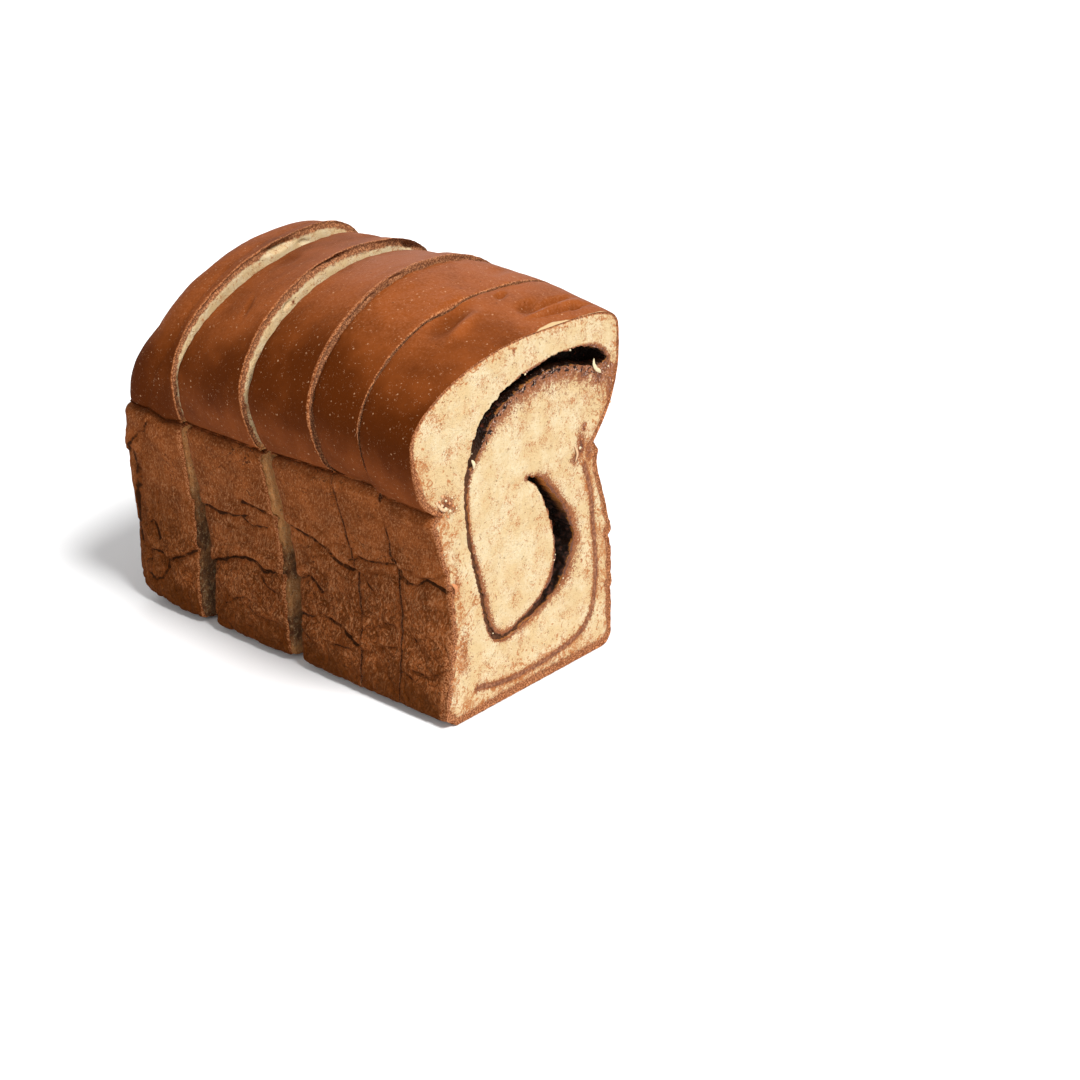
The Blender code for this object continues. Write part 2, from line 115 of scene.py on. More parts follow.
# The heel's rounding, as in the solids
HEEL_HEIGHTS = (0.0, 0.03, 0.06, 0.096, 0.13, 0.165)
HEEL_END = (0.2015, 0.2095, 0.2098, 0.201, 0.1925, 0.1945)
HEEL_ROUNDING = (0.024, 0.024, 0.024, 0.029, 0.039, 0.037)
HEEL_SQUARENESS = (3.2, 3.2, 3.2, 2.9, 2.6, 2.5)
HEEL_CENTRE_HEIGHT = 0.08
FACE_CENTRE_HEIGHT = 0.1

# The chocolate swirl on the front face: side, height, half width
SWIRL = (
    (-0.002, 0.093, 0.0004),
    (0.0065, 0.088, 0.0022),
    (0.0148, 0.075, 0.0042),
    (0.0192, 0.065, 0.0055),
    (0.02, 0.056, 0.0056),
    (0.0165, 0.046, 0.0044),
    (0.007, 0.0375, 0.002),
    (-0.007, 0.0315, 0.0011),
    (-0.018, 0.029, 0.0012),
    (-0.025, 0.0345, 0.0012),
    (-0.029, 0.048, 0.001),
    (-0.0333, 0.066, 0.0009),
    (-0.0369, 0.086, 0.0009),
    (-0.0362, 0.1035, 0.0012),
    (-0.0288, 0.1165, 0.0019),
    (-0.0196, 0.1268, 0.002),
    (-0.0048, 0.1341, 0.0022),
    (0.014, 0.1369, 0.0024),
    (0.033, 0.1358, 0.0033),
    (0.0432, 0.1328, 0.0026),
    (0.048, 0.1298, 0.0006),
)

# The thin layer of chocolate dough: side, height
LAYER = (
    (0.0335, 0.088),
    (0.0372, 0.076),
    (0.0388, 0.062),
    (0.0402, 0.048),
    (0.0405, 0.033),
    (0.037, 0.019),
    (0.027, 0.0115),
    (0.006, 0.0085),
    (-0.016, 0.0085),
    (-0.034, 0.012),
)
LAYER_HALF_WIDTH = 0.0008


def along(values, behind):
    """A dome value at a distance behind the front face."""
    return np.interp(behind, STATIONS, values)


def smoothstep(low, high, value):
    """0 below low, 1 above high, and 3t^2 - 2t^3 in between."""
    t = np.clip((value - low) / (high - low), 0.0, 1.0)
    return t * t * (3.0 - 2.0 * t)


def bell(value, width):
    """exp(-(value / width)^2), a bump one unit high."""
    return np.exp(-((value / width) ** 2))


def corner_vectors(cell, seed):
    """A random direction for each whole-number corner of space, by hashing it."""
    ix, iy, iz = (cell[..., k].astype(np.int64).astype(np.uint32) for k in range(3))
    mixed = ix * np.uint32(73856093) ^ iy * np.uint32(19349663) ^ iz * np.uint32(83492791)
    mixed = (mixed + np.uint32(seed * 2654435 % 4294967295)) * np.uint32(2246822519)
    mixed = (mixed ^ (mixed >> np.uint32(15))) * np.uint32(3266489917)
    mixed = mixed ^ (mixed >> np.uint32(13))
    parts = [(mixed >> np.uint32(shift)) & np.uint32(1023) for shift in (0, 10, 20)]
    return np.stack(parts, -1) / 511.5 - 1.0


def noise(points, size, seed):
    """Gradient noise from about -1 to 1: each corner of a lattice of that size
    has a random slope, and the eight slopes round a point are blended by the
    quintic 6t^5 - 15t^4 + 10t^3."""
    scaled = np.asarray(points) / size
    cell = np.floor(scaled)
    offset = scaled - cell
    fade = offset**3 * (offset * (offset * 6.0 - 15.0) + 10.0)
    total = np.zeros(scaled.shape[:-1])
    for corner in np.ndindex(2, 2, 2):
        corner = np.array(corner)
        slope = corner_vectors(cell + corner, seed)
        share = np.prod(np.where(corner == 1, fade, 1.0 - fade), axis=-1)
        total += share * np.sum(slope * (offset - corner), axis=-1)
    return total * 1.3


def rough(points, size, seed, octaves=3):
    """Noise with finer noise added, each octave half the size and half as high."""
    return sum(noise(points, size / 2**k, seed + k) / 2**k for k in range(octaves))


def waves(points, *layers):
    """Layers of rough noise, one on another, each given as its height in
    millimetres, its size in metres, its seed and its octaves."""
    return sum(height * MM * rough(points, *rest) for height, *rest in layers)


def wall_half(height, behind, depth, reach):
    """Half width of a pan wall: a taper from base to lip, less its hollow."""
    share = np.clip(height / LIP_HEIGHT, 0.0, 1.0)
    return WALL_BASE_HALF + (WALL_LIP_HALF - WALL_BASE_HALF) * share - along(depth, behind) * reach


def quadrant(half, rise, squareness, steps):
    """A quarter of a superellipse, from its side point to just short of its top."""
    angle = np.linspace(0.0, math.pi / 2.0, steps + 1)[:-1]
    power = 2.0 / squareness
    return half * np.cos(angle) ** power, rise * np.sin(angle) ** power


def section_runs(behind, lift):
    """The section as four fine lines of (side, height): up the near wall to its
    bulge, over the dome, down the far side, and back along the base."""
    near = (NEAR_BULGE_HALF, NEAR_BULGE_HEIGHT)
    far = (FAR_BULGE_HALF, FAR_BULGE_HEIGHT, FAR_SQUARENESS)
    crest, crest_side = (float(along(values, behind)) for values in (CREST_HEIGHT, CREST_SIDE))
    near_half, near_height = (float(along(values, behind)) for values in near)
    far_half, far_height, squareness = (float(along(values, behind)) for values in far)
    crest = crest + lift
    angle = np.linspace(0.0, math.pi / 2.0, CORNER_POINTS)
    corner_in = BASE_EDGE_RADIUS * (1.0 - np.sin(angle))
    corner_up = BASE_EDGE_RADIUS * (1.0 - np.cos(angle))

    heights = np.linspace(BASE_EDGE_RADIUS, LIP_HEIGHT - LIP_CREASE_HEIGHT, WALL_POINTS)[1:]
    waist = np.sin(math.pi * heights / LIP_HEIGHT) ** 2
    near_wall = np.column_stack([-wall_half(heights, behind, WAIST_DEPTH, waist), heights])
    crease_half = WALL_LIP_HALF - LIP_CREASE_DEPTH
    crease = [[-crease_half, LIP_HEIGHT - LIP_CREASE_HEIGHT / 3.0]]
    lip = [[-(WALL_LIP_HALF + LIP_STEP_OUT), LIP_HEIGHT]]
    hang, drop = near_half - WALL_LIP_HALF, near_height - LIP_HEIGHT
    out, down = quadrant(hang, drop, UNDERSIDE_SQUARENESS, NEAR_UNDERSIDE_POINTS)
    underside = np.column_stack([-(WALL_LIP_HALF + out), near_height - down])[::-1]
    near_corner = np.column_stack([-(WALL_BASE_HALF - corner_in), corner_up])
    near = np.vstack([near_corner, near_wall, crease, lip, underside])

    rise = crest - near_height
    out, up = quadrant(near_half + crest_side, rise, NEAR_SQUARENESS, DOME_POINTS)
    near_dome = np.column_stack([crest_side - out, near_height + up])
    out, up = quadrant(far_half - crest_side, crest - far_height, squareness, DOME_POINTS)
    far_dome = np.column_stack([crest_side + out, far_height + up])[::-1]
    dome = np.vstack([near_dome, [[crest_side, crest]], far_dome])

    def far_wall_half(height):
        """Half width of the far wall, drawn in by the fold at its lip."""
        below = LIP_HEIGHT - height
        reach = np.where(below > 0.0, FAR_FOLD_REACH_DOWN, FAR_FOLD_REACH_UP)
        return wall_half(height, behind, FAR_FOLD_DEPTH, bell(below, reach))

    share = np.linspace(0.0, 1.0, FAR_UNDERSIDE_POINTS)
    under = far_half - (far_half - far_wall_half(LIP_HEIGHT)) * share**FAR_UNDERSIDE_POWER
    far_under = np.column_stack([under, far_height - (far_height - LIP_HEIGHT) * share])
    heights = np.linspace(LIP_HEIGHT, BASE_EDGE_RADIUS, WALL_POINTS)[1:]
    far_wall = np.column_stack([far_wall_half(heights), heights])
    far_corner = np.column_stack([WALL_BASE_HALF - corner_in, corner_up])[::-1][1:]
    far = np.vstack([far_under, far_wall, far_corner])
    base = np.vstack([far[-1:], near[:1]])
    return [near, np.vstack([near[-1:], dome[1:]]), far, base]


def evenly(points, count):
    """Points at even lengths along a line, its last point left out."""
    length = np.concatenate([[0.0], np.cumsum(np.hypot(*np.diff(points, axis=0).T))])
    at = np.linspace(0.0, length[-1], count, endpoint=False)
    return np.column_stack([np.interp(at, length, points[:, k]) for k in (0, 1)])


def ring(behind, lift, per_side):
    """The section as a ring of 4 x per_side points, starting at the near end of
    its base."""
    return np.vstack([evenly(run, per_side) for run in section_runs(behind, lift)])


def cut_behind(cut, height):
    """How far behind the front a knife cut lies at a height of the section."""
    bow = CUT_BOW[cut] * np.sin(math.pi * np.clip(height / LIP_HEIGHT, 0.0, 1.0))
    return CUT_BEHIND_FRONT[cut] - CUT_LEAN[cut] * (height - LIP_HEIGHT) - bow


def back_face(index, side, height):
    """The back of a slice: the cut behind it, less the open gap, which closes
    towards the far wall below the lip."""
    width = np.interp(height, GAP_HEIGHTS, CUT_GAPS[index])
    across = smoothstep(-WALL_BASE_HALF, WALL_BASE_HALF, side)
    below = smoothstep(LIP_HEIGHT + GAP_BLEND, LIP_HEIGHT - GAP_BLEND, height)
    keep = 1.0 - (1.0 - GAP_LEFT_ON_FAR_SIDE) * across * below
    return cut_behind(index + 1, height) - np.maximum(width * keep, FIT_GAP)


def heel_rounding(height):
    """How far the heel takes to round over at a height."""
    return np.interp(height, HEEL_HEIGHTS, HEEL_ROUNDING)


def heel_start(height):
    """Where the heel starts to round over at a height."""
    return np.interp(height, HEEL_HEIGHTS, HEEL_END) - heel_rounding(height)


def smooth_curve(points, steps):
    """A Catmull-Rom curve through the points, with even steps on each span."""
    points = np.asarray(points)
    ends = np.vstack([2 * points[0] - points[1], points, 2 * points[-1] - points[-2]])
    t = np.linspace(0.0, 1.0, steps, endpoint=False)[:, None]
    spans = []
    for i in range(len(points) - 1):
        a, b, c, d = ends[i : i + 4]
        spans.append(
            0.5 * (2 * b + (c - a) * t + (2 * a - 5 * b + 4 * c - d) * t**2
                   + (3 * b - a - 3 * c + d) * t**3)
        )
    return np.vstack(spans + [points[-1:]])


def raised(centre, index):
    """The swirl of one slice: stretched above the lip as far as its dome is."""
    lift = min(CREST_LIFT_FRONT[index], CREST_LIFT_BACK[index], 0.0)
    crest = float(along(CREST_HEIGHT, CUT_BEHIND_FRONT[index])) + lift
    stretch = (crest - LIP_HEIGHT) / (CREST_HEIGHT[0] - LIP_HEIGHT)
    high = LIP_HEIGHT + (centre[:, 1] - LIP_HEIGHT) * stretch
    return np.column_stack([centre[:, 0], np.where(centre[:, 1] > LIP_HEIGHT, high, centre[:, 1])])


def in_space(behind, side, height):
    """Places on the loaf as points in space."""
    return np.stack([FRONT_X - behind, side + MIDDLE_Y, height], -1)


# Creases of the near wall, each with its points as (millimetres behind the
# front, height in millimetres), its depth and its ledge, both in millimetres:
# above a ledge the wall stands out, and below it the wall draws in
NEAR_CREASES = (
    (((26, 68), (24.5, 60.5), (20, 58), (15, 59.4), (12, 63), (4, 61.5), (-1, 60)), 1.5, 1.0),
    (((21, 65), (14, 63.8), (6, 65), (-1, 69)), 0.5, 0.4),
    (((19, 20), (11, 19.4), (4, 24), (-1, 27)), 0.9, 0.5),
    (((30, 18), (24, 18), (20, 16)), 0.7, 0.3),
    (((21, 34.5), (19, 33)), 0.9, 0.0),
    (((52, 60), (47.5, 62.5), (42.5, 62.5), (35, 63.8), (27, 64.4)), 1.1, 0.8),
    (((50, 56), (47.5, 53.8), (43.8, 50.6), (40, 48)), 0.8, 0.3),
    (((48, 56), (42, 56.5), (36, 60)), 0.5, 0.3),
    (((45, 30.6), (39, 33.8), (34, 36), (30, 36)), 0.8, 0.5),
    (((49, 20), (44, 21), (36, 25), (30, 27)), 0.8, 0.5),
    (((44, 83), (43, 82)), 0.9, 0.0),
    (((94, 66), (85, 66), (79, 65), (71, 63), (66, 61), (62.5, 58), (57.5, 56), (51, 55)), 1.3, 1.0),
    (((66, 62.5), (60, 65.6), (51, 66)), 0.5, 0.5),
    (((92, 39), (84, 41), (79, 44.4), (75, 42), (71, 38.8)), 1.1, 0.7),
    (((72.5, 29.4), (66, 28), (60, 26.9), (55, 23.8), (50, 22)), 1.1, 0.6),
    (((89, 26), (80, 25.6), (75, 26.9), (72, 29)), 0.9, 0.5),
    (((89, 18), (81, 16.9), (77.5, 15)), 0.8, 0.4),
    (((66, 16.9), (60, 18), (52.5, 18)), 0.7, 0.4),
    (((150, 58.8), (142, 59.8), (135, 60), (130, 59.6), (122.5, 60), (114, 62.5)), 1.2, 0.9),
    (((119, 60), (112.5, 57.5), (107.5, 59.4), (103, 60)), 0.9, 0.4),
    (((116, 68.8), (110, 68.5), (100, 66.9)), 1.1, 0.7),
    (((144, 32), (135, 35.6), (127.5, 38.8), (119, 41.3), (112.5, 41.5), (106, 38.8), (100, 39.4)), 1.3, 1.2),
    (((132.5, 16), (126, 20), (120, 21.9), (116, 21.9)), 0.9, 0.5),
    (((118, 18.8), (111, 16), (100, 16.9)), 0.7, 0.4),
    (((112, 41), (111, 36), (106, 31), (101, 30)), 0.5, 0.3),
    (((169, 26), (162.5, 28.8), (156, 31.9), (150, 36)), 1.3, 1.0),
    (((182.5, 40), (180, 41.9), (177.5, 38.8), (175.6, 33.8)), 1.1, 0.5),
    (((183, 27), (178, 28), (172, 26.5), (171, 21), (176, 15), (181, 12.5), (184, 15)), 1.2, 0.4),
    (((184.5, 15), (186, 20), (183, 26)), 0.9, 0.2),
    (((186, 75), (185, 67), (187.5, 58.8), (189, 52.5), (190.6, 46), (191, 37.5), (189, 30)), 1.3, 0.6),
    (((174, 60), (174.4, 54), (175, 50)), 0.4, 0.2),
    (((168.8, 92.5), (176, 88), (180, 84), (186, 79), (191, 72.5)), 1.1, 0.6),
)

# Creases of the far wall, which finish it like the near one
FAR_CREASES = (
    (((-1, 52), (8, 50), (16, 54), (24, 53), (31, 57)), 1.2, 0.9),
    (((-1, 27), (9, 24), (18, 28), (27, 26)), 0.8, 0.5),
    (((31, 64), (40, 60), (50, 61), (57, 58)), 1.1, 0.8),
    (((33, 30), (42, 33), (52, 29)), 0.9, 0.5),
    (((57, 66), (68, 63), (80, 58), (92, 59)), 1.3, 1.0),
    (((60, 34), (70, 31), (82, 36), (93, 34)), 1.0, 0.7),
    (((62, 17), (72, 19), (84, 15)), 0.7, 0.4),
    (((100, 60), (112, 63), (124, 61), (140, 67)), 1.2, 1.0),
    (((102, 40), (114, 36), (128, 39), (142, 35)), 1.1, 0.8),
    (((108, 20), (118, 17), (130, 21)), 0.8, 0.4),
    (((150, 52), (160, 48), (172, 51), (184, 47)), 1.2, 0.9),
    (((152, 30), (162, 26), (174, 29)), 1.0, 0.6),
    (((180, 74), (182, 66), (186, 58), (185, 50)), 0.5, 0.3),
)

# Creases of the heel's back, with (side, height) points
HEEL_CREASES = (
    (((-46, 62), (-30, 58), (-14, 62), (2, 57), (12, 60)), 1.1, 0.9),
    (((4, 66), (18, 63), (34, 68), (48, 64)), 1.0, 0.8),
    (((-40, 34), (-24, 30), (-8, 35), (6, 31)), 1.0, 0.7),
    (((10, 38), (26, 34), (42, 38)), 0.9, 0.6),
    (((-20, 14), (-4, 17), (14, 13), (30, 18)), 0.8, 0.5),
    (((-4, 84), (10, 80), (20, 84)), 0.6, 0.4),
)
HEEL_CREASES_FROM = (0.192, 0.199)

# How a crease is formed: how much of its depth is pressed in and over what
# width, then how far its ledge stands out above the line and draws in below it,
# over what widths, and within what height it turns from one to the other
CREASE_PRESS = 0.8
CREASE_WIDTH = 0.001
LEDGE_OUT = 1.0
LEDGE_BACK = 1.1
LEDGE_WIDTH = 0.0085
LEDGE_FADE = 0.0045
LEDGE_STEP = 0.0005

# The painted shadow under a ledge, a dark strip: its way back and down as parts
# of its length, its length as a multiple of the ledge, and the shares of it that
# are tried
LEDGE_SHADE = (1.15, -0.75)
LEDGE_SHADED = 1.9
LEDGE_SHADE_STEPS = (0.0, 0.4, 0.7, 1.0)

# A crease shallower than this, in millimetres, has a narrower strip of painted shade
DARK_CREASE = 1.3
LESS_DARK = 0.5
FAR_FROM_CREASE = 0.006


def furrow(points, size, seed, sway=0.5, breadth=1.6):
    """Distance to a net of winding furrows: |noise| of a place that a larger
    noise has shifted, which is 0 along them."""
    shift = sway * size * noise(points, size * breadth, seed + 7)
    return abs(noise(points + shift[:, None], size, seed))


def nearest_crease(knots, behind, height):
    """The distance to a line through the knots, and how far above it a place is."""
    close = np.full(behind.shape, FAR_FROM_CREASE)
    above = np.zeros(behind.shape)
    for (b0, h0), (b1, h1) in zip(knots, knots[1:]):
        run, rise = b1 - b0, h1 - h0
        t = ((behind - b0) * run + (height - h0) * rise) / (run**2 + rise**2)
        t = np.clip(t, 0.0, 1.0)
        away = np.hypot(behind - b0 - t * run, height - h0 - t * rise)
        better = away < close
        above = np.where(better, height - h0 - t * rise, above)
        close = np.where(better, away, close)
    return close, above


def crease_fields(creases, behind, height):
    """What a set of creases does at each place: how deep they press in, how far
    their ledges stand out, and the distance to the nearest shaded strip. The
    press is depth x exp(-distance / width). A ledge stands out above its line
    by exp(-(distance / width)^2), and draws in below it by exp(-distance /
    width). The strip is what the line passes over on its way back and down by
    the ledge's shade."""
    press = np.zeros(behind.shape)
    ledge = np.zeros(behind.shape)
    nearest = np.full(behind.shape, FAR_FROM_CREASE)
    for knots, depth, step in creases:
        knots = np.asarray(knots, float) * MM
        close, above = nearest_crease(knots, behind, height)
        press = np.maximum(press, CREASE_PRESS * depth * MM * np.exp(-close / CREASE_WIDTH))
        over = smoothstep(-LEDGE_STEP, LEDGE_STEP, above)
        out = over * LEDGE_OUT * bell(close, LEDGE_WIDTH)
        back = (1.0 - over) * LEDGE_BACK * np.exp(-close / LEDGE_FADE)
        ledge = ledge + step * MM * (out - back)
        reach = LEDGE_SHADED * step * MM
        for share in LEDGE_SHADE_STEPS:
            shift_b, shift_h = (part * share * reach for part in LEDGE_SHADE)
            strip = nearest_crease(knots, behind - shift_b, height - shift_h)[0]
            narrower = LESS_DARK * MM * (DARK_CREASE - min(depth, DARK_CREASE))
            nearest = np.minimum(nearest, strip + narrower)
    return press, ledge, nearest


# Dents in the dome, and with a depth below 0 the folds beside them: behind,
# side, half length, half width and depth in millimetres, and how far the long
# way is turned from the loaf's length
DENT_POWER = 1.6
DOME_DENTS = (
    (27.0, -15.5, 12.5, 4.6, 3.2, 77.0),
    (18.8, -17.0, 12.0, 2.4, -1.5, 77.0),
    (26.5, 14.0, 3.5, 1.5, 1.6, 75.0),
    (15.5, 17.0, 6.0, 2.8, 2.3, 75.0),
    (13.0, 27.0, 14.0, 1.6, 2.0, 84.0),
    (10.3, 28.0, 15.0, 1.8, -1.2, 88.0),
    (7.5, 29.0, 15.0, 1.3, 1.5, 92.0),
    (6.5, 36.0, 3.2, 1.1, 2.0, 80.0),
    (122.5, -35.0, 6.0, 1.6, 0.9, 62.0),
    (134.0, -2.0, 7.0, 5.0, 0.8, 30.0),
    (178.0, -10.0, 9.0, 6.0, 0.5, 40.0),
    (80.0, 30.0, 12.0, 6.0, 0.6, 60.0),
    (120.0, 36.0, 10.0, 4.0, 0.7, 75.0),
    (45.0, 34.0, 9.0, 3.0, 0.7, 70.0),
)


def bells(rows, along_a, along_b, power):
    """Bells over turned ellipses, added up: each is its height x exp(-r^(2 x
    power)), r being 1 on its ellipse. A row gives the ellipse's middle, half
    length and half width and the bell's height, all in millimetres, and its
    turn in degrees."""
    total = np.zeros(along_a.shape)
    for a, b, long_half, short_half, high, turn in rows:
        da, db = along_a - a * MM, along_b - b * MM
        cos, sin = math.cos(math.radians(turn)), math.sin(math.radians(turn))
        lengthwise = (da * cos + db * sin) / (long_half * MM)
        across = (-da * sin + db * cos) / (short_half * MM)
        total += high * MM * np.exp(-((lengthwise**2 + across**2) ** power))
    return total


def dent_depth(behind, side):
    """How deep the dome's dents are: bells with rather steep sides."""
    return bells(DOME_DENTS, behind, side, DENT_POWER)


# How far the near lip of each slice, from the front one back, lies above its
# height in the solids, in millimetres, at its front end, middle and back end
LIP_RISE = ((-2.2, -1.7, -1.2), (2.2, 2.0, 1.8), (1.6, 1.2, 0.4), (0.2, 0.4, 0.6), (0.4, -1.4, 1.2))

# The heights at which the pull on the lip sets in, is whole, starts to fade and
# has faded
LIP_PULL = (0.06, 0.093, 0.1, 0.126)

# How far the wall of each slice stands out again just under the lip, in
# millimetres
UNDER_LIP = (1.7, 0.9, 0.5, 0.5, 0.5)

# How far the near bottom edge of each slice is tucked up, in millimetres, how
# high that reaches, and between which sides it and the pull on the lip set in
TUCK = (0.0, 2.2, 2.4, 1.2, 0.6)
TUCK_REACH = 0.006
NEAR_FROM = (-0.03, -0.044)

# How far the heel's near bottom corner is rounded up, how high that reaches,
# between which sides it sets in, and from where along the slice
HEEL_TUCK = 0.005
HEEL_TUCK_REACH = 0.012
HEEL_TUCK_SIDES = (0.005, -0.04)
HEEL_TUCK_FROM = 0.2


def settle(index, share, side, height):
    """The section's heights once the slice has sagged: its near lip is pulled
    up or down, fading out above and below it, and its near bottom edge is
    tucked up by exp(-height / reach), on the heel's corner further."""
    low, lip_low, lip_high, high = LIP_PULL
    pull = smoothstep(low, lip_low, height) * smoothstep(high, lip_high, height)
    near = smoothstep(*NEAR_FROM, side)
    rise = np.interp(share, (0.0, 0.5, 1.0), LIP_RISE[index]) * MM
    tuck = TUCK[index] * MM * np.exp(-height / TUCK_REACH) * near
    if index == HEEL:
        corner = smoothstep(HEEL_TUCK_FROM, 1.0, share) * smoothstep(*HEEL_TUCK_SIDES, side)
        tuck = tuck + HEEL_TUCK * np.exp(-height / HEEL_TUCK_REACH) * corner
    return height + rise * pull * near + tuck


def wall_creases(index, behind, side, height, points):
    """What the creases do at each place: those of the near or the far wall, and
    towards the heel's end those of its back. Noise makes their lines waver."""
    wander = waves(points, (0.9, 0.0065, 71, 1), (0.4, 0.0021, 75, 1))
    near = crease_fields(NEAR_CREASES, behind + wander, height + wander)
    far = crease_fields(FAR_CREASES, behind + wander, height + wander)
    fields = [np.where(side < 0.0, a, b) for a, b in zip(near, far)]
    if index == HEEL:
        end = crease_fields(HEEL_CREASES, side + wander, height + wander)
        share = smoothstep(*HEEL_CREASES_FROM, behind)
        fields = [a + (b - a) * share for a, b in zip(fields, end)]
    return fields


def crust_fields(index, behind, side, height, unsettled):
    """Relief of the skin, and what its material needs to know: how much a place
    is pan wall, and its distance to a crease, along which it paints shade. The
    dome is gently rough and dented. The wall is rougher and creased, wrinkled and
    furrowed low down, and stands out a little under the lip."""
    points = in_space(behind, side, height)
    on_wall = smoothstep(LIP_HEIGHT + 0.4 * MM, LIP_HEIGHT - 0.6 * MM, unsettled)
    on_base = smoothstep(1.2 * MM, 0.1 * MM, height)
    on_dome = smoothstep(0.108, 0.122, height)

    dome = waves(points, (0.34, 0.019, 11 + index, 3), (0.1, 0.0045, 21, 1), (0.035, 0.0013, 31, 2))
    dome = dome - dent_depth(behind, side) * on_dome

    stretched = points * np.array([1.0, 1.0, 0.45])
    wall = waves(points, (0.55, 0.016, 41 + index, 3), (0.16, 0.004, 51, 1))
    wall = wall + waves(stretched, (0.12, 0.0022, 61, 2))
    press, ledge, crease = wall_creases(index, behind, side, height, points)
    fade = smoothstep(1.0 * MM, 5.0 * MM, height)
    fade = fade * smoothstep(LIP_HEIGHT - 1.0 * MM, LIP_HEIGHT - 5.0 * MM, unsettled)
    wall = wall + (ledge - press) * fade
    crease = FAR_FROM_CREASE + (crease - FAR_FROM_CREASE) * fade

    low = smoothstep(0.06, 0.014, height)
    wrinkles = 1.0 - 2.2 * furrow(stretched, 0.0026, 81, 0.6, 2.2)
    wall = wall + (0.1 + 0.14 * low) * MM * wrinkles
    groove = furrow(points * np.array([1.0, 1.0, 0.8]), 0.006, 91)
    groove = groove + 2.0 * smoothstep(0.0, 0.5, noise(points, 0.012, 95))
    wall = wall - 1.05 * low * MM * np.exp(-groove / 0.13)
    # Painted shade in the low furrows, through the crease distance
    crease = np.minimum(crease, (0.42 + 7.0 * groove + 3.0 * (1.0 - low)) * MM)
    wall = wall + UNDER_LIP[index] * MM * bell(unsettled - LIP_HEIGHT + 0.003, 0.0035)
    lift = wall * on_wall + dome * (1.0 - on_wall)
    return lift * (1.0 - 0.9 * on_base), on_wall, crease


def vertex_normals(points, quads):
    """Unit normals: each quad's diagonals crossed, summed at its corners."""
    a, b, c, d = (points[quads[:, k]] for k in range(4))
    facing = np.cross(c - a, d - b)
    normals = np.zeros_like(points)
    for k in range(4):
        for axis in range(3):
            normals[:, axis] += np.bincount(quads[:, k], facing[:, axis], len(points))
    length = np.linalg.norm(normals, axis=1)
    return normals / np.maximum(length, 1e-12)[:, None]


def tube_quads(rows, count):
    """Quads between rows of a closed ring: across the ring, then to the next row."""
    r, k = np.meshgrid(np.arange(rows - 1), np.arange(count), indexing="ij")
    after = (k + 1) % count
    corners = (r * count + k, r * count + after, (r + 1) * count + after, (r + 1) * count + k)
    return np.stack(corners, -1).reshape(-1, 4)


def disc_plan(per_side):
    """A square grid that fills a ring of 4 x per_side points: for each inner
    point its place round the ring and its share of the way out, and the quads.
    Square loops of the grid become smaller copies of the ring, so there is no
    pole. In the quads the ring's points come first, then the inner ones."""
    n = per_side // 2
    a, b = np.meshgrid(np.arange(-n, n + 1), np.arange(-n, n + 1), indexing="ij")
    m = np.maximum(abs(a), abs(b))
    up = b + m
    over = 2 * m + a + m
    down = 4 * m + m - b
    back = 6 * m + m - a
    turn = np.where(a == -m, up, np.where(b == m, over, np.where(a == m, down, back)))
    inner = m < n
    number = np.where(inner, 0, turn % (8 * n))
    number[inner] = 8 * n + np.arange(inner.sum())
    corners = (number[:-1, :-1], number[1:, :-1], number[1:, 1:], number[:-1, 1:])
    quads = np.stack(corners, -1).reshape(-1, 4)
    m_in = np.maximum(m[inner], 1)
    return turn[inner] * n / m_in, m[inner] / n, quads


def on_ring(values, place):
    """Values of a ring at fractional places round it."""
    low = np.floor(place).astype(int)
    share = place - low
    count = len(values)
    share = share.reshape(share.shape + (1,) * (values.ndim - 1))
    return values[low % count] * (1.0 - share) + values[(low + 1) % count] * share


def ring_plan(count, shrinks):
    """Rings inside a ring, and a middle point: the same three results as
    disc_plan, for faces that need detail only near their rim."""
    rows = len(shrinks)
    place = np.tile(np.arange(count, dtype=float), rows)
    share = np.repeat(np.asarray(shrinks, float), count)
    k = np.arange(count)
    after = (k + 1) % count
    rings = tube_quads(rows + 1, count)[:, ::-1]
    last = rows * count
    middle = np.full(count, (rows + 1) * count)
    fan = np.stack([middle, last + after, last + k, last + k], -1)
    return np.append(place, 0.0), np.append(share, 0.0), np.vstack([rings, fan])


# Pits in the front faces of three slices: side, height, half length, half width
# and depth in millimetres, and turn in degrees
PIT_POWER = 1.5
FACE_PITS = {
    1: (
        (7.0, 159.2, 7.0, 1.6, 3.0, 8.0),
        (21.5, 158.3, 3.0, 1.3, 1.0, -8.0),
        (-31.0, 146.5, 2.5, 0.8, 1.0, 35.0),
    ),
    2: (
        (-2.0, 164.0, 6.5, 1.3, 3.0, 4.0),
        (-11.8, 162.6, 2.4, 1.1, 2.0, 12.0),
        (-30.0, 151.0, 2.5, 0.9, 1.2, 30.0),
        (41.0, 161.2, 4.0, 1.8, 2.5, -20.0),
    ),
    3: (
        (-8.5, 165.6, 4.0, 1.1, 1.8, 4.0),
        (-24.0, 160.0, 3.5, 0.8, 1.0, 20.0),
    ),
}


def pit_depth(number, side, height):
    """How deep the pits of a slice's front face are."""
    return bells(FACE_PITS.get(number, ()), side, height, PIT_POWER)


def face_relief(number, side, height, rim):
    """How far a cut face lies back from the knife's plane: crumb, rougher at
    the torn rim, and pits. It is never in front of the plane."""
    points = np.stack([np.full(side.shape, 0.01 * number), side, height], -1)
    crumb = 0.22 * MM * (1.0 + rough(points, 0.009, 101)) + 0.1 * MM * rough(points, 0.0026, 111)
    crumb = crumb + 0.05 * MM * rough(points, 0.0011, 121, 2)
    torn = 0.35 * MM * (1.0 + rough(points, 0.0016, 131, 3)) * smoothstep(1.6, 0.4, rim)
    return np.maximum(crumb + torn, 0.0) + pit_depth(number, side, height)


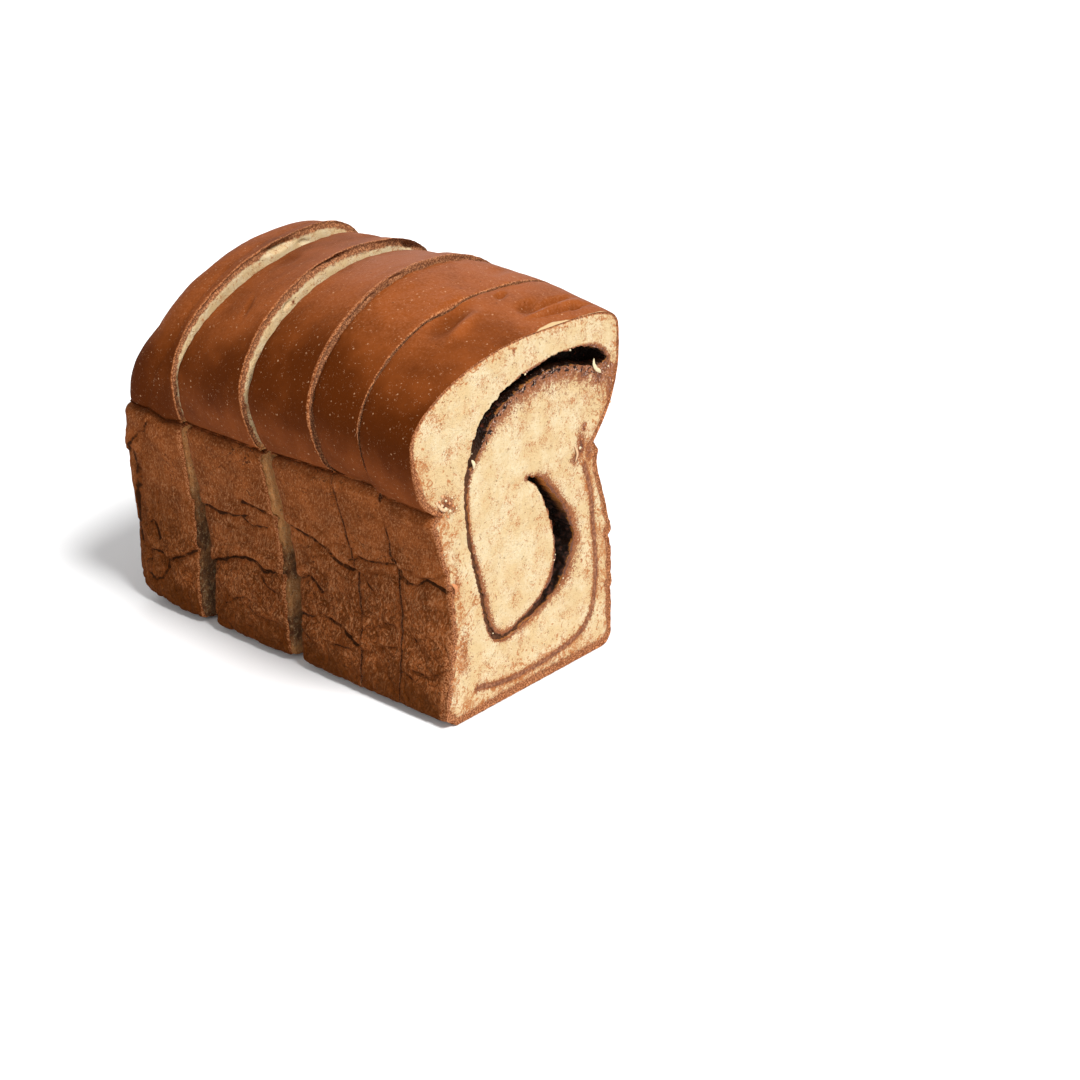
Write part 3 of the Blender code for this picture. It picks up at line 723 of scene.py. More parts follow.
# How thick the crust looks on the front face and on the others, in millimetres,
# at these turns of the ring, which starts and ends at the near base corner and
# passes the near bulge at a quarter, the far bulge at a half and the far base
# corner at three quarters. Each slice, from the front one back, has a scale
CRUST_TURNS = (0.0, 0.1, 0.185, 0.215, 0.25, 0.31, 0.4, 0.5, 0.58, 0.66, 0.75, 0.87, 1.0)
FRONT_CRUST = (3.4, 1.9, 2.4, 2.6, 1.6, 1.1, 0.7, 1.2, 2.3, 3.0, 3.6, 4.0, 3.2)
INNER_CRUST = (2.2, 1.6, 1.8, 2.0, 2.2, 2.8, 3.8, 3.0, 2.0, 1.8, 2.2, 3.0, 2.2)
CRUST_SCALE = (1.0, 1.6, 2.0, 1.0, 0.9)
EVENED_EACH_WAY = 4

# Stain beside the swirl on a cut face, at these places along it (0 is its inner
# tip and 20 its outer end): how wide in millimetres, inside and outside it
STAIN_PLACES = (0, 1, 2, 4, 5, 6, 8, 10, 12, 13, 14, 16, 18, 19, 20)
STAIN_INSIDE = (0.3, 0.3, 0.6, 0.8, 1.0, 1.2, 2.0, 2.8, 1.0, 1.4, 3.4, 7.2, 8.2, 9.5, 12.5)
STAIN_OUTSIDE = (1.2, 2.2, 2.6, 4.6, 4.6, 3.4, 1.2, 0.2, 0.1, 0.1, 0.3, 0.4, 0.6, 1.5, 2.0)

# How strong the stain is beside the thin layer, and how wide in millimetres
LAYER_STAIN = 0.85
LAYER_STAIN_WIDTH = 1.1

# Brown spots apart from the swirl: side, height, half width and half height in
# millimetres, and strength
STAIN_SPOTS = (
    (31.5, 97.0, 2.6, 6.5, 1.05),
    (33.5, 104.0, 1.6, 2.4, 1.0),
    (28.5, 92.0, 4.0, 3.0, 0.85),
    (36.5, 93.0, 3.0, 5.0, 0.85),
    (50.0, 116.0, 3.0, 9.0, 0.95),
    (-8.3, 147.6, 0.8, 1.3, 0.9),
    (-26.8, 151.6, 0.8, 0.8, 1.0),
    # These two lie behind the torn crumbs at the near lip: brown torn crust, and partly their painted shadow
    (-48.0, 96.5, 4.0, 3.2, 0.95),
    (-44.0, 93.0, 2.6, 2.0, 0.75),
    (-40.0, 30.0, 3.0, 12.0, 0.45),
    (-43.0, 62.0, 2.0, 12.0, 0.4),
    (-2.0, 92.5, 2.6, 1.4, 0.8),
    (43.0, 124.0, 6.0, 5.0, 1.0),
    (34.0, 127.0, 7.0, 3.5, 1.0),
)

# Steps between two points of the swirl's line, of the line that the stain is
# measured from, and of the thin layer's line
SWIRL_STEPS = 20
STAIN_STEPS = 8
LAYER_STEPS = 12
LAYER_ACROSS = 7


def swirl_line(index, steps=SWIRL_STEPS):
    """The swirl's centre line and half widths in one slice, finely stepped."""
    fine = smooth_curve(SWIRL, steps)
    return raised(fine[:, :2], index), fine[:, 2]


def nearest_on(line, side, height):
    """For each place the nearest point of a line, the distance to it, and
    whether the place is on the line's left."""
    close = np.full(side.shape, np.inf)
    which = np.zeros(side.shape, int)
    for i, (s, h) in enumerate(line):
        away = np.hypot(side - s, height - h)
        better = away < close
        close = np.where(better, away, close)
        which = np.where(better, i, which)
    heading = np.gradient(line, axis=0)[which]
    offset = np.stack([side, height], -1) - line[which]
    left = heading[..., 0] * offset[..., 1] - heading[..., 1] * offset[..., 0] > 0.0
    return which, close, left


def stain_field(index, side, height):
    """How stained the crumb is, from 0 to 1: exp(-(distance / width)^1.5) beside
    the swirl's band, the same beside the thin layer, and a bell on each spot;
    two spots by the near lip stand partly for painted shadow."""
    line, half = swirl_line(index, STAIN_STEPS)
    which, close, left = nearest_on(line, side, height)
    place = which / STAIN_STEPS
    inside = np.interp(place, STAIN_PLACES, STAIN_INSIDE)
    outside = np.interp(place, STAIN_PLACES, STAIN_OUTSIDE)
    width = np.where(left, outside, inside) * MM
    stain = np.exp(-(np.maximum(close - half[which], 0.0) / width) ** 1.5)
    layer = smooth_curve(LAYER, STAIN_STEPS)
    beside = np.maximum(nearest_on(layer, side, height)[1] - LAYER_HALF_WIDTH, 0.0)
    by_layer = LAYER_STAIN * np.exp(-(beside / (LAYER_STAIN_WIDTH * MM)) ** 1.5)
    stain = np.maximum(stain, by_layer)
    for s, h, wide, high, strength in STAIN_SPOTS:
        away = ((side - s * MM) / (wide * MM)) ** 2 + ((height - h * MM) / (high * MM)) ** 2
        stain = np.maximum(stain, strength * np.exp(-away))
    return stain


def new_mesh(name, points, quads, material_index=None):
    """A mesh from arrays of points and quads; a quad whose last two corners are
    the same point is a triangle."""
    mesh = bpy.data.meshes.new(name)
    four = quads[:, 2] != quads[:, 3]
    sizes = np.where(four, 4, 3)
    keep = np.ones(quads.shape, bool)
    keep[:, 3] = four
    loops = quads[keep]
    starts = np.concatenate([[0], np.cumsum(sizes)[:-1]])
    mesh.vertices.add(len(points))
    mesh.vertices.foreach_set("co", points.astype(np.float32).ravel())
    mesh.loops.add(len(loops))
    mesh.loops.foreach_set("vertex_index", loops.astype(np.int32))
    mesh.polygons.add(len(quads))
    mesh.polygons.foreach_set("loop_start", starts.astype(np.int32))
    mesh.polygons.foreach_set("loop_total", sizes.astype(np.int32))
    if material_index is not None:
        mesh.polygons.foreach_set("material_index", material_index.astype(np.int32))
    mesh.update(calc_edges=True)
    mesh.validate()
    mesh.shade_smooth()
    return mesh


def new_object(name, mesh, materials):
    """An object at the origin with these materials, in the scene."""
    for material in materials:
        mesh.materials.append(material)
    obj = bpy.data.objects.new(name, mesh)
    bpy.context.scene.collection.objects.link(obj)
    return obj


def set_attribute(mesh, name, values):
    """One number for each vertex, which a material reads by name."""
    attribute = mesh.attributes.new(name, "FLOAT", "POINT")
    attribute.data.foreach_set("value", np.asarray(values, np.float32))


# Fineness of each slice, from the front one back: points on a quarter of the
# ring, rows along the slice, and rings on its back face. The rows crowd towards
# both ends, and the back face's rings towards its rim
FINENESS = ((220, 38, 6), (220, 36, 6), (220, 54, 8), (208, 62, 8), (162, 62, 0))
ROW_CROWDING = 0.06
BACK_RING_POWER = 0.7

# Rings on every front face but the first, which is a finer grid, as shares of
# its outline: close together at the rim, where it is seen, and then far apart
FRONT_RINGS = np.concatenate([0.994 ** np.arange(1, 31), [0.8, 0.76, 0.7, 0.62, 0.5, 0.34, 0.16]])

# What the knife did to each slice's edges, from the front slice back, in metres:
# how far the wall is rounded over at its front and at its back edge, and how
# ragged both edges are, which is more beside the wide gaps
ROUNDED_FRONT = (0.0003, 0.0002, 0.0002, 0.0012, 0.0012)
ROUNDED_BACK = (0.0002, 0.0002, 0.0014, 0.0014, 0.0)
RAGGED_FRONT = (0.0004, 0.0004, 0.0004, 0.0009, 0.0009)
RAGGED_BACK = (0.0004, 0.0004, 0.0009, 0.0009, 0.0004)

# In millimetres: how far every edge is broken, how far the dome's back edge has
# sunk, and how rough its torn front edge is
EDGE_BREAK = (0.1, 0.12, 0.2, 0.3, 0.3)
EDGE_SUNK = (0.5, 1.3, 0.3, 0.3, 0.0)
TORN_LIFT = (0.0, 0.3, 0.35, 0.35, 0.35)

# How far in from the edge the breaking, the rounding, the tearing and the rags
# reach, and how far from a crease the pan wall right at a cut counts as being,
# which paints a line of shade along the cut
BREAK_REACH = 0.6 * MM
EDGE_REACH = 0.0026
TORN_REACH = 1.5 * MM
RAG_REACH = 1.8 * MM
DARK_AT_CUT = 0.45 * MM

# How wide the torn orange crust is along each slice's front edge, by height, in
# millimetres, and how much of that is left on the far side
TORN_HEIGHTS = (0.0, 0.02, 0.036, 0.046, 0.06, 0.066, 0.09, 0.096, 0.108, 0.118, 0.135, 0.17)
TORN_WIDTHS = (
    (4.2, 3.4, 3.0, 1.0, 2.6, 0.8, 1.4, 2.2, 1.6, 0.8, 0.3, 0.0),
    (0.0, 0.0, 0.0, 0.0, 0.0, 0.0, 0.0, 0.0, 0.0, 0.1, 0.4, 0.9),
    (0.0, 0.0, 0.0, 0.0, 0.0, 0.0, 0.0, 0.3, 0.5, 1.2, 1.3, 1.5),
    (1.2, 1.2, 1.6, 2.2, 1.2, 1.4, 1.0, 0.8, 0.9, 1.0, 1.2, 1.4),
    (1.2, 1.0, 1.0, 1.0, 1.0, 1.6, 2.2, 1.4, 0.9, 1.0, 1.2, 1.4),
)
TORN_ON_FAR_SIDE = 0.8

# How wide the skin is torn off the crumb behind the front slice's top edge, by
# side, in millimetres, and the heights between which that sets in. A place that
# is further in from the edge than the last value counts as that far in
BARE_SIDES = (0.004, 0.009, 0.016, 0.023, 0.026, 0.034, 0.044, 0.05)
BARE_WIDTHS = (0.0, 1.4, 2.3, 1.0, 0.0, 0.2, 0.5, 0.0)
BARE_HEIGHTS = (0.135, 0.145)
FAR_IN = 99.0

# The torn front edge of one slice's dome that curls forward: which slice from
# the front one back, at what side and how far to both sides of that, from what
# height, how far in from the edge, how far forward and up in millimetres, and
# how much wider its torn crust is
CURLED_SLICE = 3
CURL_SIDE = 0.038
CURL_HALF = 0.014
CURL_HEIGHTS = (0.15, 0.158)
CURL_REACH = 4.0 * MM
CURL_FORWARD = 2.8
CURL_UP = 1.0
CURL_TORN = 2.5

# How far the heel's skin is drawn in, and from where to where behind the front
HEEL_INSET = 0.0031
HEEL_INSET_FROM = (0.185, 0.205)

# The materials of a slice, by their places in its list
CRUST, CRUMB, LINING = range(3)


def side_rows(index, per_side, rows):
    """The undisplaced skin of a slice as rows of rings, from front to back: a
    section at each row, its points spread between the cuts by height."""
    front_at = CUT_BEHIND_FRONT[index]
    is_heel = index == HEEL
    back_at = float(heel_start(LIP_HEIGHT)) if is_heel else CUT_BEHIND_FRONT[index + 1]
    share = np.linspace(0.0, 1.0, rows)
    share = share - ROW_CROWDING * np.sin(2.0 * math.pi * share)
    lift = CREST_LIFT_FRONT[index] * (1.0 - share) + CREST_LIFT_BACK[index] * share
    at = front_at + (back_at - front_at) * share
    outline = np.stack([ring(place, up, per_side) for place, up in zip(at, lift)])
    side, unsettled = outline[..., 0], outline[..., 1]
    height = settle(index, share[:, None], side, unsettled)
    front = cut_behind(index, height)
    back = heel_start(height) if is_heel else back_face(index, side, height)
    behind = front + (back - front) * share[:, None]
    return behind, side, height, behind - front, back - behind, unsettled


def ragged(index, side, height, seed):
    """How far the torn edge of a cut wanders in from the knife's plane, from
    about 0 to 1, by rough noise."""
    points = np.stack([np.full(side.shape, 0.02 * index), side, height], -1)
    return 0.5 + 0.5 * rough(points, 0.0032, seed, 3)


def rim_width(ring_points, widths):
    """How many crust thicknesses each ring point lies from the middle: the
    distance from the middle to the ring's tangent there, evened out over a few
    points, over the crust's thickness."""
    count = len(ring_points)
    heading = np.roll(ring_points, -1, 0) - np.roll(ring_points, 1, 0)
    normal = np.column_stack([heading[:, 1], -heading[:, 0]])
    normal /= np.maximum(np.linalg.norm(normal, axis=1), 1e-9)[:, None]
    ray = ring_points - np.array([0.0, FACE_CENTRE_HEIGHT])
    squarely = abs(np.sum(normal * ray, axis=1))
    thickness = np.interp(np.arange(count) / count, CRUST_TURNS, widths) * MM
    span = 2 * EVENED_EACH_WAY + 1
    padded = np.concatenate([squarely[-EVENED_EACH_WAY:], squarely, squarely[:EVENED_EACH_WAY]])
    return np.convolve(padded, np.ones(span) / span, "valid") / thickness


def cut_face(index, ring_points, place, share, is_front):
    """A cut face inside a ring of displaced points: smaller copies of the ring,
    laid on the knife's plane, with the crumb's relief. Returns the points and
    how many crust thicknesses each one lies in from the skin."""

    def plane(side, height):
        """How far behind the front the knife's plane lies."""
        return cut_behind(index, height) if is_front else back_face(index, side, height)

    centre = np.array([0.0, FACE_CENTRE_HEIGHT])
    outline = ring_points[:, 1:] - np.array([MIDDLE_Y, 0.0])
    widths = FRONT_CRUST if index == 0 else INNER_CRUST
    reach = rim_width(outline, np.array(widths) * CRUST_SCALE[index])
    inner = centre + (on_ring(outline, place) - centre) * share[:, None]
    side, height = inner.T
    off_plane = (FRONT_X - ring_points[:, 0]) - plane(*outline.T)
    rim = (1.0 - share) * on_ring(reach, place)
    relief = face_relief(HEEL + 1 - index, side, height, rim) * smoothstep(0.0, 0.35, rim)
    behind = plane(side, height) + on_ring(off_plane, place) * np.exp(-rim * 1.5)
    behind = behind + (relief if is_front else -relief)
    return in_space(behind, side, height), rim


def heel_cap(outline, place, share):
    """The heel: smaller copies of the last ring, each further back, so that the
    loaf's end is a superellipse seen from above and from the side."""
    eased = np.sin(share * math.pi / 2.0)
    centre = np.array([outline[:, 0].mean(), HEEL_CENTRE_HEIGHT])
    inner = centre + (on_ring(outline, place) - centre) * eased[:, None]
    side, height = inner.T
    power = np.interp(height, HEEL_HEIGHTS, HEEL_SQUARENESS)
    reach = heel_rounding(height) * (1.0 - eased**power) ** (1.0 / power)
    return heel_start(height) + reach, side, height


def skin_rows(index, per_side, rows, disc):
    """The undisplaced skin of a slice, its heel too: where each point lies, its
    unsettled height, its distances to the front and back cut, and the quads."""
    behind, side, height, from_front, from_back, unsettled = side_rows(index, per_side, rows)
    fields = [field.ravel() for field in (behind, side, height, unsettled, from_front, from_back)]
    quads = tube_quads(rows, 4 * per_side)
    if index == HEEL:
        cap = heel_cap(np.column_stack([side[-1], height[-1]]), disc[0], disc[1])
        far_off = np.full(len(disc[0]), 1.0)
        fields = [np.concatenate(pair) for pair in zip(fields, (*cap, cap[2], far_off, far_off))]
        quads = np.vstack([quads, disc[2][:, ::-1] + (rows - 1) * 4 * per_side])
    return *fields, quads


def knife_wear(index, lift, base, on_wall, from_front, from_back):
    """The skin's relief, worn beside the cuts by exp(-distance / reach): every
    edge is broken, the wall's edges are rounded over, and on the dome the back
    edge has sunk and the front edge is torn."""
    broken = np.exp(-from_front / BREAK_REACH) + np.exp(-from_back / BREAK_REACH)
    lift = lift - EDGE_BREAK[index] * MM * broken
    lift = lift - ROUNDED_FRONT[index] * on_wall * np.exp(-from_front / EDGE_REACH)
    lift = lift - ROUNDED_BACK[index] * on_wall * np.exp(-from_back / EDGE_REACH)
    sunk = EDGE_SUNK[index] * MM * (1.0 - on_wall) * np.exp(-from_back / EDGE_REACH)
    lift = lift - sunk * (1.0 + 0.6 * rough(base, 0.005, 145, 2))
    torn_edge = np.exp(-from_front / TORN_REACH) * (index > 0)
    return lift + TORN_LIFT[index] * MM * rough(base, 0.002, 141, 2) * torn_edge


def dragged(index, points, side, height, from_front, from_back, curl):
    """The skin's points once the knife has dragged them, by exp(-distance /
    reach): both edges are ragged, and the curled one stands forward and up.
    Nothing goes below the ground."""
    front = RAGGED_FRONT[index] * ragged(index, side, height, 151)
    back = RAGGED_BACK[index] * ragged(index, side, height, 161)
    points[:, 0] -= front * np.exp(-from_front / RAG_REACH)
    points[:, 0] += back * np.exp(-from_back / RAG_REACH)
    points[:, 2] = np.maximum(points[:, 2], 0.0)
    curled = curl * np.exp(-from_front / CURL_REACH)
    points[:, 0] += CURL_FORWARD * MM * curled
    points[:, 2] += CURL_UP * MM * curled
    return points


def skin_fields(index, behind, side, height, from_front, curl):
    """What the crust's material reads beside the cuts and on the dome: how far
    in from the front edge a place lies, in widths of the torn crust there, how
    far it lies inside the strip whose skin has come off, and how baked it is,
    with painted light and shade in the same tone."""
    width = np.interp(height, TORN_HEIGHTS, TORN_WIDTHS[index])
    width = width * np.where(side < 0.0, 1.0, TORN_ON_FAR_SIDE)
    width = width * (1.0 + CURL_TORN * curl)
    bare = np.interp(side, BARE_SIDES, BARE_WIDTHS) * (index == 0)
    bare = bare * smoothstep(*BARE_HEIGHTS, height)
    return {
        "edge": np.minimum(from_front / MM / np.maximum(width, 0.01), FAR_IN),
        "bare": bare - np.minimum(from_front / MM, FAR_IN),
        # Tone of baking, with painted light and shade on the dome mixed in
        "bake_and_shading": bake_and_shading_tone(behind, side, height),
    }


def slice_skin(index, per_side, rows, disc):
    """The finished skin of a slice: its points and quads, and what the crust's
    material reads."""
    fields = skin_rows(index, per_side, rows, disc)
    behind, side, height, unsettled, from_front, from_back, quads = fields
    base = in_space(behind, side, height)
    lift, on_wall, crease = crust_fields(index, behind, side, height, unsettled)
    if index == HEEL:
        lift = lift - HEEL_INSET * smoothstep(*HEEL_INSET_FROM, behind)
    # Painted shade along the cuts: the wall beside a cut counts as close to a crease
    to_cut = DARK_AT_CUT + np.minimum(from_front, from_back)
    crease = np.minimum(crease, to_cut + FAR_FROM_CREASE * (1.0 - on_wall))
    lift = knife_wear(index, lift, base, on_wall, from_front, from_back)
    points = base + vertex_normals(base, quads) * lift[:, None]
    curl = (index == CURLED_SLICE) * bell(side - CURL_SIDE, CURL_HALF)
    curl = curl * smoothstep(*CURL_HEIGHTS, height)
    points = dragged(index, points, side, height, from_front, from_back, curl)
    values = {"wall": on_wall, "crease": crease / MM}
    values.update(skin_fields(index, behind, side, height, from_front, curl))
    return points, quads, values


def slice_mesh(index):
    """The bread of one slice as one closed skin: its crust in rows from front
    to back, its front face, and its back face or the heel."""
    per_side, rows, back_rings = FINENESS[index]
    count = 4 * per_side
    disc = disc_plan(per_side)
    points, quads, values = slice_skin(index, per_side, rows, disc)
    faces = [(0, disc if index == 0 else ring_plan(count, FRONT_RINGS), True)]
    if index != HEEL:
        shares = np.linspace(1.0, 0.0, back_rings + 2)[1:-1] ** BACK_RING_POWER
        faces.append(((rows - 1) * count, ring_plan(count, shares), False))

    skins, groups = [points], [quads]
    rims, kinds = [np.zeros(len(points))], [np.full(len(quads), CRUST)]
    for first, (place, share, plan), is_front in faces:
        inner, rim = cut_face(index, points[first : first + count], place, share, is_front)
        total = sum(len(skin) for skin in skins)
        plan = np.where(plan < count, plan + first, plan - count + total)
        skins.append(inner)
        rims.append(rim)
        groups.append(plan if is_front else flipped(plan))
        kinds.append(np.full(len(plan), CRUMB))

    every, rim = np.vstack(skins), np.concatenate(rims)
    mesh = new_mesh(f"slice_{HEEL + 1 - index}", every, np.vstack(groups), np.concatenate(kinds))
    set_attribute(mesh, "rim", rim)
    for name, skin in values.items():
        rest = FAR_FROM_CREASE / MM if name == "crease" else 0.0
        set_attribute(mesh, name, np.append(skin, np.full(len(every) - len(points), rest)))
    side, height = every[:, 1] - MIDDLE_Y, every[:, 2]
    set_attribute(mesh, "stain", stain_field(index, side, height) * (rim > 0.0))
    # Painted shade in the gaps between the slices
    set_attribute(mesh, "gap_shade", gap_shade_field(index, side, height))
    set_attribute(mesh, "front", np.full(len(every), 1.0 if index == 0 else 0.0))
    return mesh


# Painted shade on the cut faces of two slices in the gaps: how dark, from 0
# to 1, by height, and between which sides that sets in towards the near wall
GAP_SHADE_HEIGHTS = (0.0, 0.004, 0.012, 0.019, 0.027, 0.034, 0.04, 0.047, 0.056, 0.074, 0.092, 0.1)
GAP_SHADE = {
    3: (0.75, 0.42, 1.0, 0.9, 0.52, 0.6, 1.0, 0.8, 0.26, 0.18, 0.35, 0.0),
    4: (1.0, 0.98, 0.98, 0.95, 0.92, 0.9, 0.95, 0.92, 0.75, 0.3, 0.22, 0.0),
}
GAP_SHADE_SIDES = (0.01, -0.03)


def gap_shade_field(index, side, height):
    """How much painted shade darkens and browns the crumb inside the gaps between the slices."""
    if index not in GAP_SHADE:
        return np.zeros(side.shape)
    dark = np.interp(height, GAP_SHADE_HEIGHTS, GAP_SHADE[index])
    return dark * smoothstep(*GAP_SHADE_SIDES, side)


def bake_and_shading_tone(behind, side, height):
    """How deeply the dome is baked, with painted light and shade in the same
    tone: least on its crest, which stands in for the light and sheen on top,
    most on its shoulders, which is painted shade, less again under them, more
    in its dents, which is painted shade, and less on the folds beside them,
    which is painted light. The near side of the front slice is darker, as
    painted shade. The heel is more even."""
    crest = along(CREST_HEIGHT, behind)
    drop = (crest - height) / (crest - LIP_HEIGHT)
    fore = smoothstep(0.03, 0.012, behind)
    rear = smoothstep(0.09, 0.13, behind)
    heel = smoothstep(0.14, 0.17, behind)
    # Painted light and shade: the crest is kept light as if lit from above, and the shoulders and the near
    # side of the front slice are darker as painted shade
    rise = smoothstep(0.1 * fore + 0.32 * rear, 0.45 + 0.2 * rear, drop)
    least = 0.2 + 0.27 * rear + 0.36 * fore * smoothstep(0.01, -0.012, side)
    bake_and_shading = least + (1.04 - least) * rise
    under = smoothstep(0.52, 0.86, drop)
    bake_and_shading = bake_and_shading - 0.38 * under * (1.0 - 0.9 * heel)
    bake_and_shading = bake_and_shading * (1.0 - heel * (0.14 - 0.24 * under))
    # Dents painted darker and the folds beside them lighter: painted shade and painted light
    return bake_and_shading + 0.12 * dent_depth(behind, side) / MM


def flipped(quads):
    """The same faces turned round, with a triangle's doubled corner kept last."""
    four = quads[:, 2] != quads[:, 3]
    turned = quads[:, ::-1].copy()
    turned[~four] = quads[~four][:, [0, 2, 1, 1]]
    return turned


# The hollow in the swirl at each slice's front: places along the swirl, how
# deep it is in millimetres, and how far in front of the face its cutter starts
HOLLOW_PLACES = (0, 0.6, 1.2, 5.0, 6.0, 7.0, 12.8, 13.6, 14.4, 19.4, 20)
HOLLOW_DEPTHS = (1.0, 4.0, 11.0, 11.0, 5.0, 1.6, 1.6, 5.0, 10.5, 10.5, 3.0)
CUTTER_IN_FRONT = 0.004
CUTTER_AROUND = 24
CUTTER_SQUARENESS = 5.0

# How many crust thicknesses in from the skin the hollow's edges count as
INSIDE_RIM = 9.0

# Edges sharper than this many degrees are shaded sharp
SHARP_ANGLE = 48.0

# A band narrower than this is roughened less
ROUGH_HALF = 1.2 * MM

# Edges of the hollow, from the swirl's line, in millimetres at places along it:
# on the swirl's outer side and on its inner side
EDGE_PLACES = (
    0, 0.8, 1.3, 2.0, 3.0, 3.7, 4.1, 4.7, 5.4, 6.0, 6.8, 12.8, 13.3,
    13.7, 14.1, 14.5, 15.0, 15.5, 16.2, 16.7, 17.2, 18.0, 18.4, 19.0, 19.7, 20,
)
EDGE_OUTER = (
    0.8, 1.8, 1.9, 3.6, 4.8, 7.0, 4.9, 4.0, 4.6, 3.0, 1.2, 1.0, 1.4,
    2.6, 3.5, 4.4, 3.1, 2.7, 1.7, 2.1, 3.0, 3.1, 2.8, 1.8, 1.3, 0.6,
)
EDGE_INNER = (
    0.6, 2.0, 3.2, 4.0, 5.4, 5.4, 5.2, 4.4, 2.2, 1.4, 1.0, 1.0, 1.6,
    2.6, 2.0, 2.4, 2.0, 2.6, 3.0, 2.3, 3.0, 5.0, 5.6, 5.2, 2.4, 0.6,
)

# Where wet chocolate lies smeared on the bread inside the hollow's inner edge,
# at places along the swirl
GLAZE_PLACES = (0, 13.2, 13.8, 19.4, 20)
GLAZE = (0.0, 0.0, 1.0, 1.0, 0.0)
GLAZE_REACH = 0.0019


def sideways(line):
    """Unit directions square to a line, to its left."""
    heading = np.gradient(line, axis=0)
    heading /= np.linalg.norm(heading, axis=1)[:, None]
    return np.column_stack([-heading[:, 1], heading[:, 0]])


def beside(line, across, out):
    """Sides and heights of places that lie so far out from a line's points."""
    return (line[:, None, k] + across[:, None, k] * out for k in (0, 1))


def hollow_edges(place):
    """How far the hollow reaches to each side of the swirl's line."""
    outer, inner = (np.interp(place, EDGE_PLACES, edge) for edge in (EDGE_OUTER, EDGE_INNER))
    return outer[:, None] * MM, inner[:, None] * MM


def capped_tube(rows, count):
    """Quads of a closed ring carried along a line, with both ends filled by a
    fan to a middle point after the last row: the first end's, then the last's."""
    quads = tube_quads(rows, count)
    k = np.arange(count)
    after = (k + 1) % count
    first = np.full(count, rows * count)
    last = first + 1
    end = (rows - 1) * count
    start_fan = np.stack([first, after, k, k], -1)
    end_fan = np.stack([last, end + k, end + after, end + after], -1)
    return np.vstack([quads, start_fan, end_fan])


def closed(grid):
    """Points and outward quads of a grid of closed rings, with both ends filled."""
    rows, count = grid.shape[:2]
    points = np.vstack([grid.reshape(-1, 3), [grid[0].mean(0), grid[-1].mean(0)]])
    return points, outward(points, capped_tube(rows, count))


def cutter_mesh(index):
    """What is scooped out of a slice's front along the swirl: a squarish
    superellipse |a|^5 + |d|^5 = 1 carried along the line, a across the band and
    d into the bread, with ragged walls."""
    line, half = swirl_line(index)
    across = sideways(line)
    place = np.arange(len(line)) / SWIRL_STEPS
    depth = np.interp(place, HOLLOW_PLACES, HOLLOW_DEPTHS)[:, None] * MM
    angle = np.linspace(0.0, 2.0 * math.pi, CUTTER_AROUND, endpoint=False)
    power = 2.0 / CUTTER_SQUARENESS
    a = (np.sign(np.cos(angle)) * abs(np.cos(angle)) ** power)[None, :]
    d = (np.sign(np.sin(angle)) * abs(np.sin(angle)) ** power)[None, :]
    outer, inner = hollow_edges(place)
    side, height = beside(line, across, np.where(a > 0.0, a * outer, a * inner))
    into = 0.5 * (depth - CUTTER_IN_FRONT) + d * 0.5 * (depth + CUTTER_IN_FRONT)
    points = np.stack([into, side, height], -1)
    narrow = np.minimum(half[:, None] / ROUGH_HALF, 1.0)
    wander = 1.3 * MM * rough(points, 0.0032, 171 + index, 3) * narrow
    wander = wander + 0.55 * MM * noise(points, 0.0012, 175 + index)
    side = side + across[:, None, 0] * np.sign(a) * wander
    height = height + across[:, None, 1] * np.sign(a) * wander
    grid = in_space(cut_behind(index, height) + into, side, height)
    return closed(grid)


def outward(points, quads):
    """The quads, turned round if the closed skin they make is inside out: its
    volume, summed from the origin, is then negative."""
    a, b, c = (points[quads[:, k]] for k in (0, 1, 2))
    d = points[quads[:, 3]]
    volume = np.sum(np.cross(a, b) * c) + np.sum(np.cross(a, c) * d)
    return quads if volume > 0.0 else flipped(quads)


def scoop(obj, index):
    """Cuts the hollow out of a slice, and keeps the result as its mesh."""
    points, quads = cutter_mesh(index)
    mesh = new_mesh("scoop", points, quads, np.full(len(quads), LINING))
    cutter = new_object("scoop", mesh, list(obj.data.materials))
    cut = obj.modifiers.new("scoop", "BOOLEAN")
    cut.operation = "DIFFERENCE"
    cut.solver = "MANIFOLD"
    cut.object = cutter
    bpy.context.view_layer.update()
    evaluated = obj.evaluated_get(bpy.context.evaluated_depsgraph_get())
    result = bpy.data.meshes.new_from_object(evaluated)
    if len(result.polygons) < len(obj.data.polygons) // 2:
        raise RuntimeError(f"the hollow of {obj.name} could not be cut")
    obj.modifiers.clear()
    old = obj.data
    obj.data = result
    bpy.data.meshes.remove(old)
    bpy.data.objects.remove(cutter, do_unlink=True)
    restore_rim(obj.data, index)
    obj.data.set_sharp_from_angle(angle=math.radians(SHARP_ANGLE))


def restore_rim(mesh, index):
    """Works out afresh what the crumb's material reads at the points where the
    hollow's wall meets the face, because the cut leaves their values at 0."""

    def read(data, name, per_item=1, kind=np.int32):
        """One value, or so many, of each item as an array."""
        values = np.empty(len(data) * per_item, kind)
        data.foreach_get(name, values)
        return values

    points = read(mesh.vertices, "co", 3, np.float32).reshape(-1, 3).astype(float)
    corners = read(mesh.loops, "vertex_index")
    lining = read(mesh.polygons, "material_index") == LINING
    at = np.unique(corners[np.repeat(lining, read(mesh.polygons, "loop_total"))])
    side, height = points[at, 1] - MIDDLE_Y, points[at, 2]
    fresh = {
        "rim": np.full(len(at), INSIDE_RIM),
        "stain": stain_field(index, side, height),
        "gap_shade": gap_shade_field(index, side, height),
        "front": np.full(len(at), 1.0 if index == 0 else 0.0),
    }
    for name, values in fresh.items():
        data = mesh.attributes[name].data
        every = read(data, "value", 1, np.float32)
        every[at] = values
        data.foreach_set("value", every)


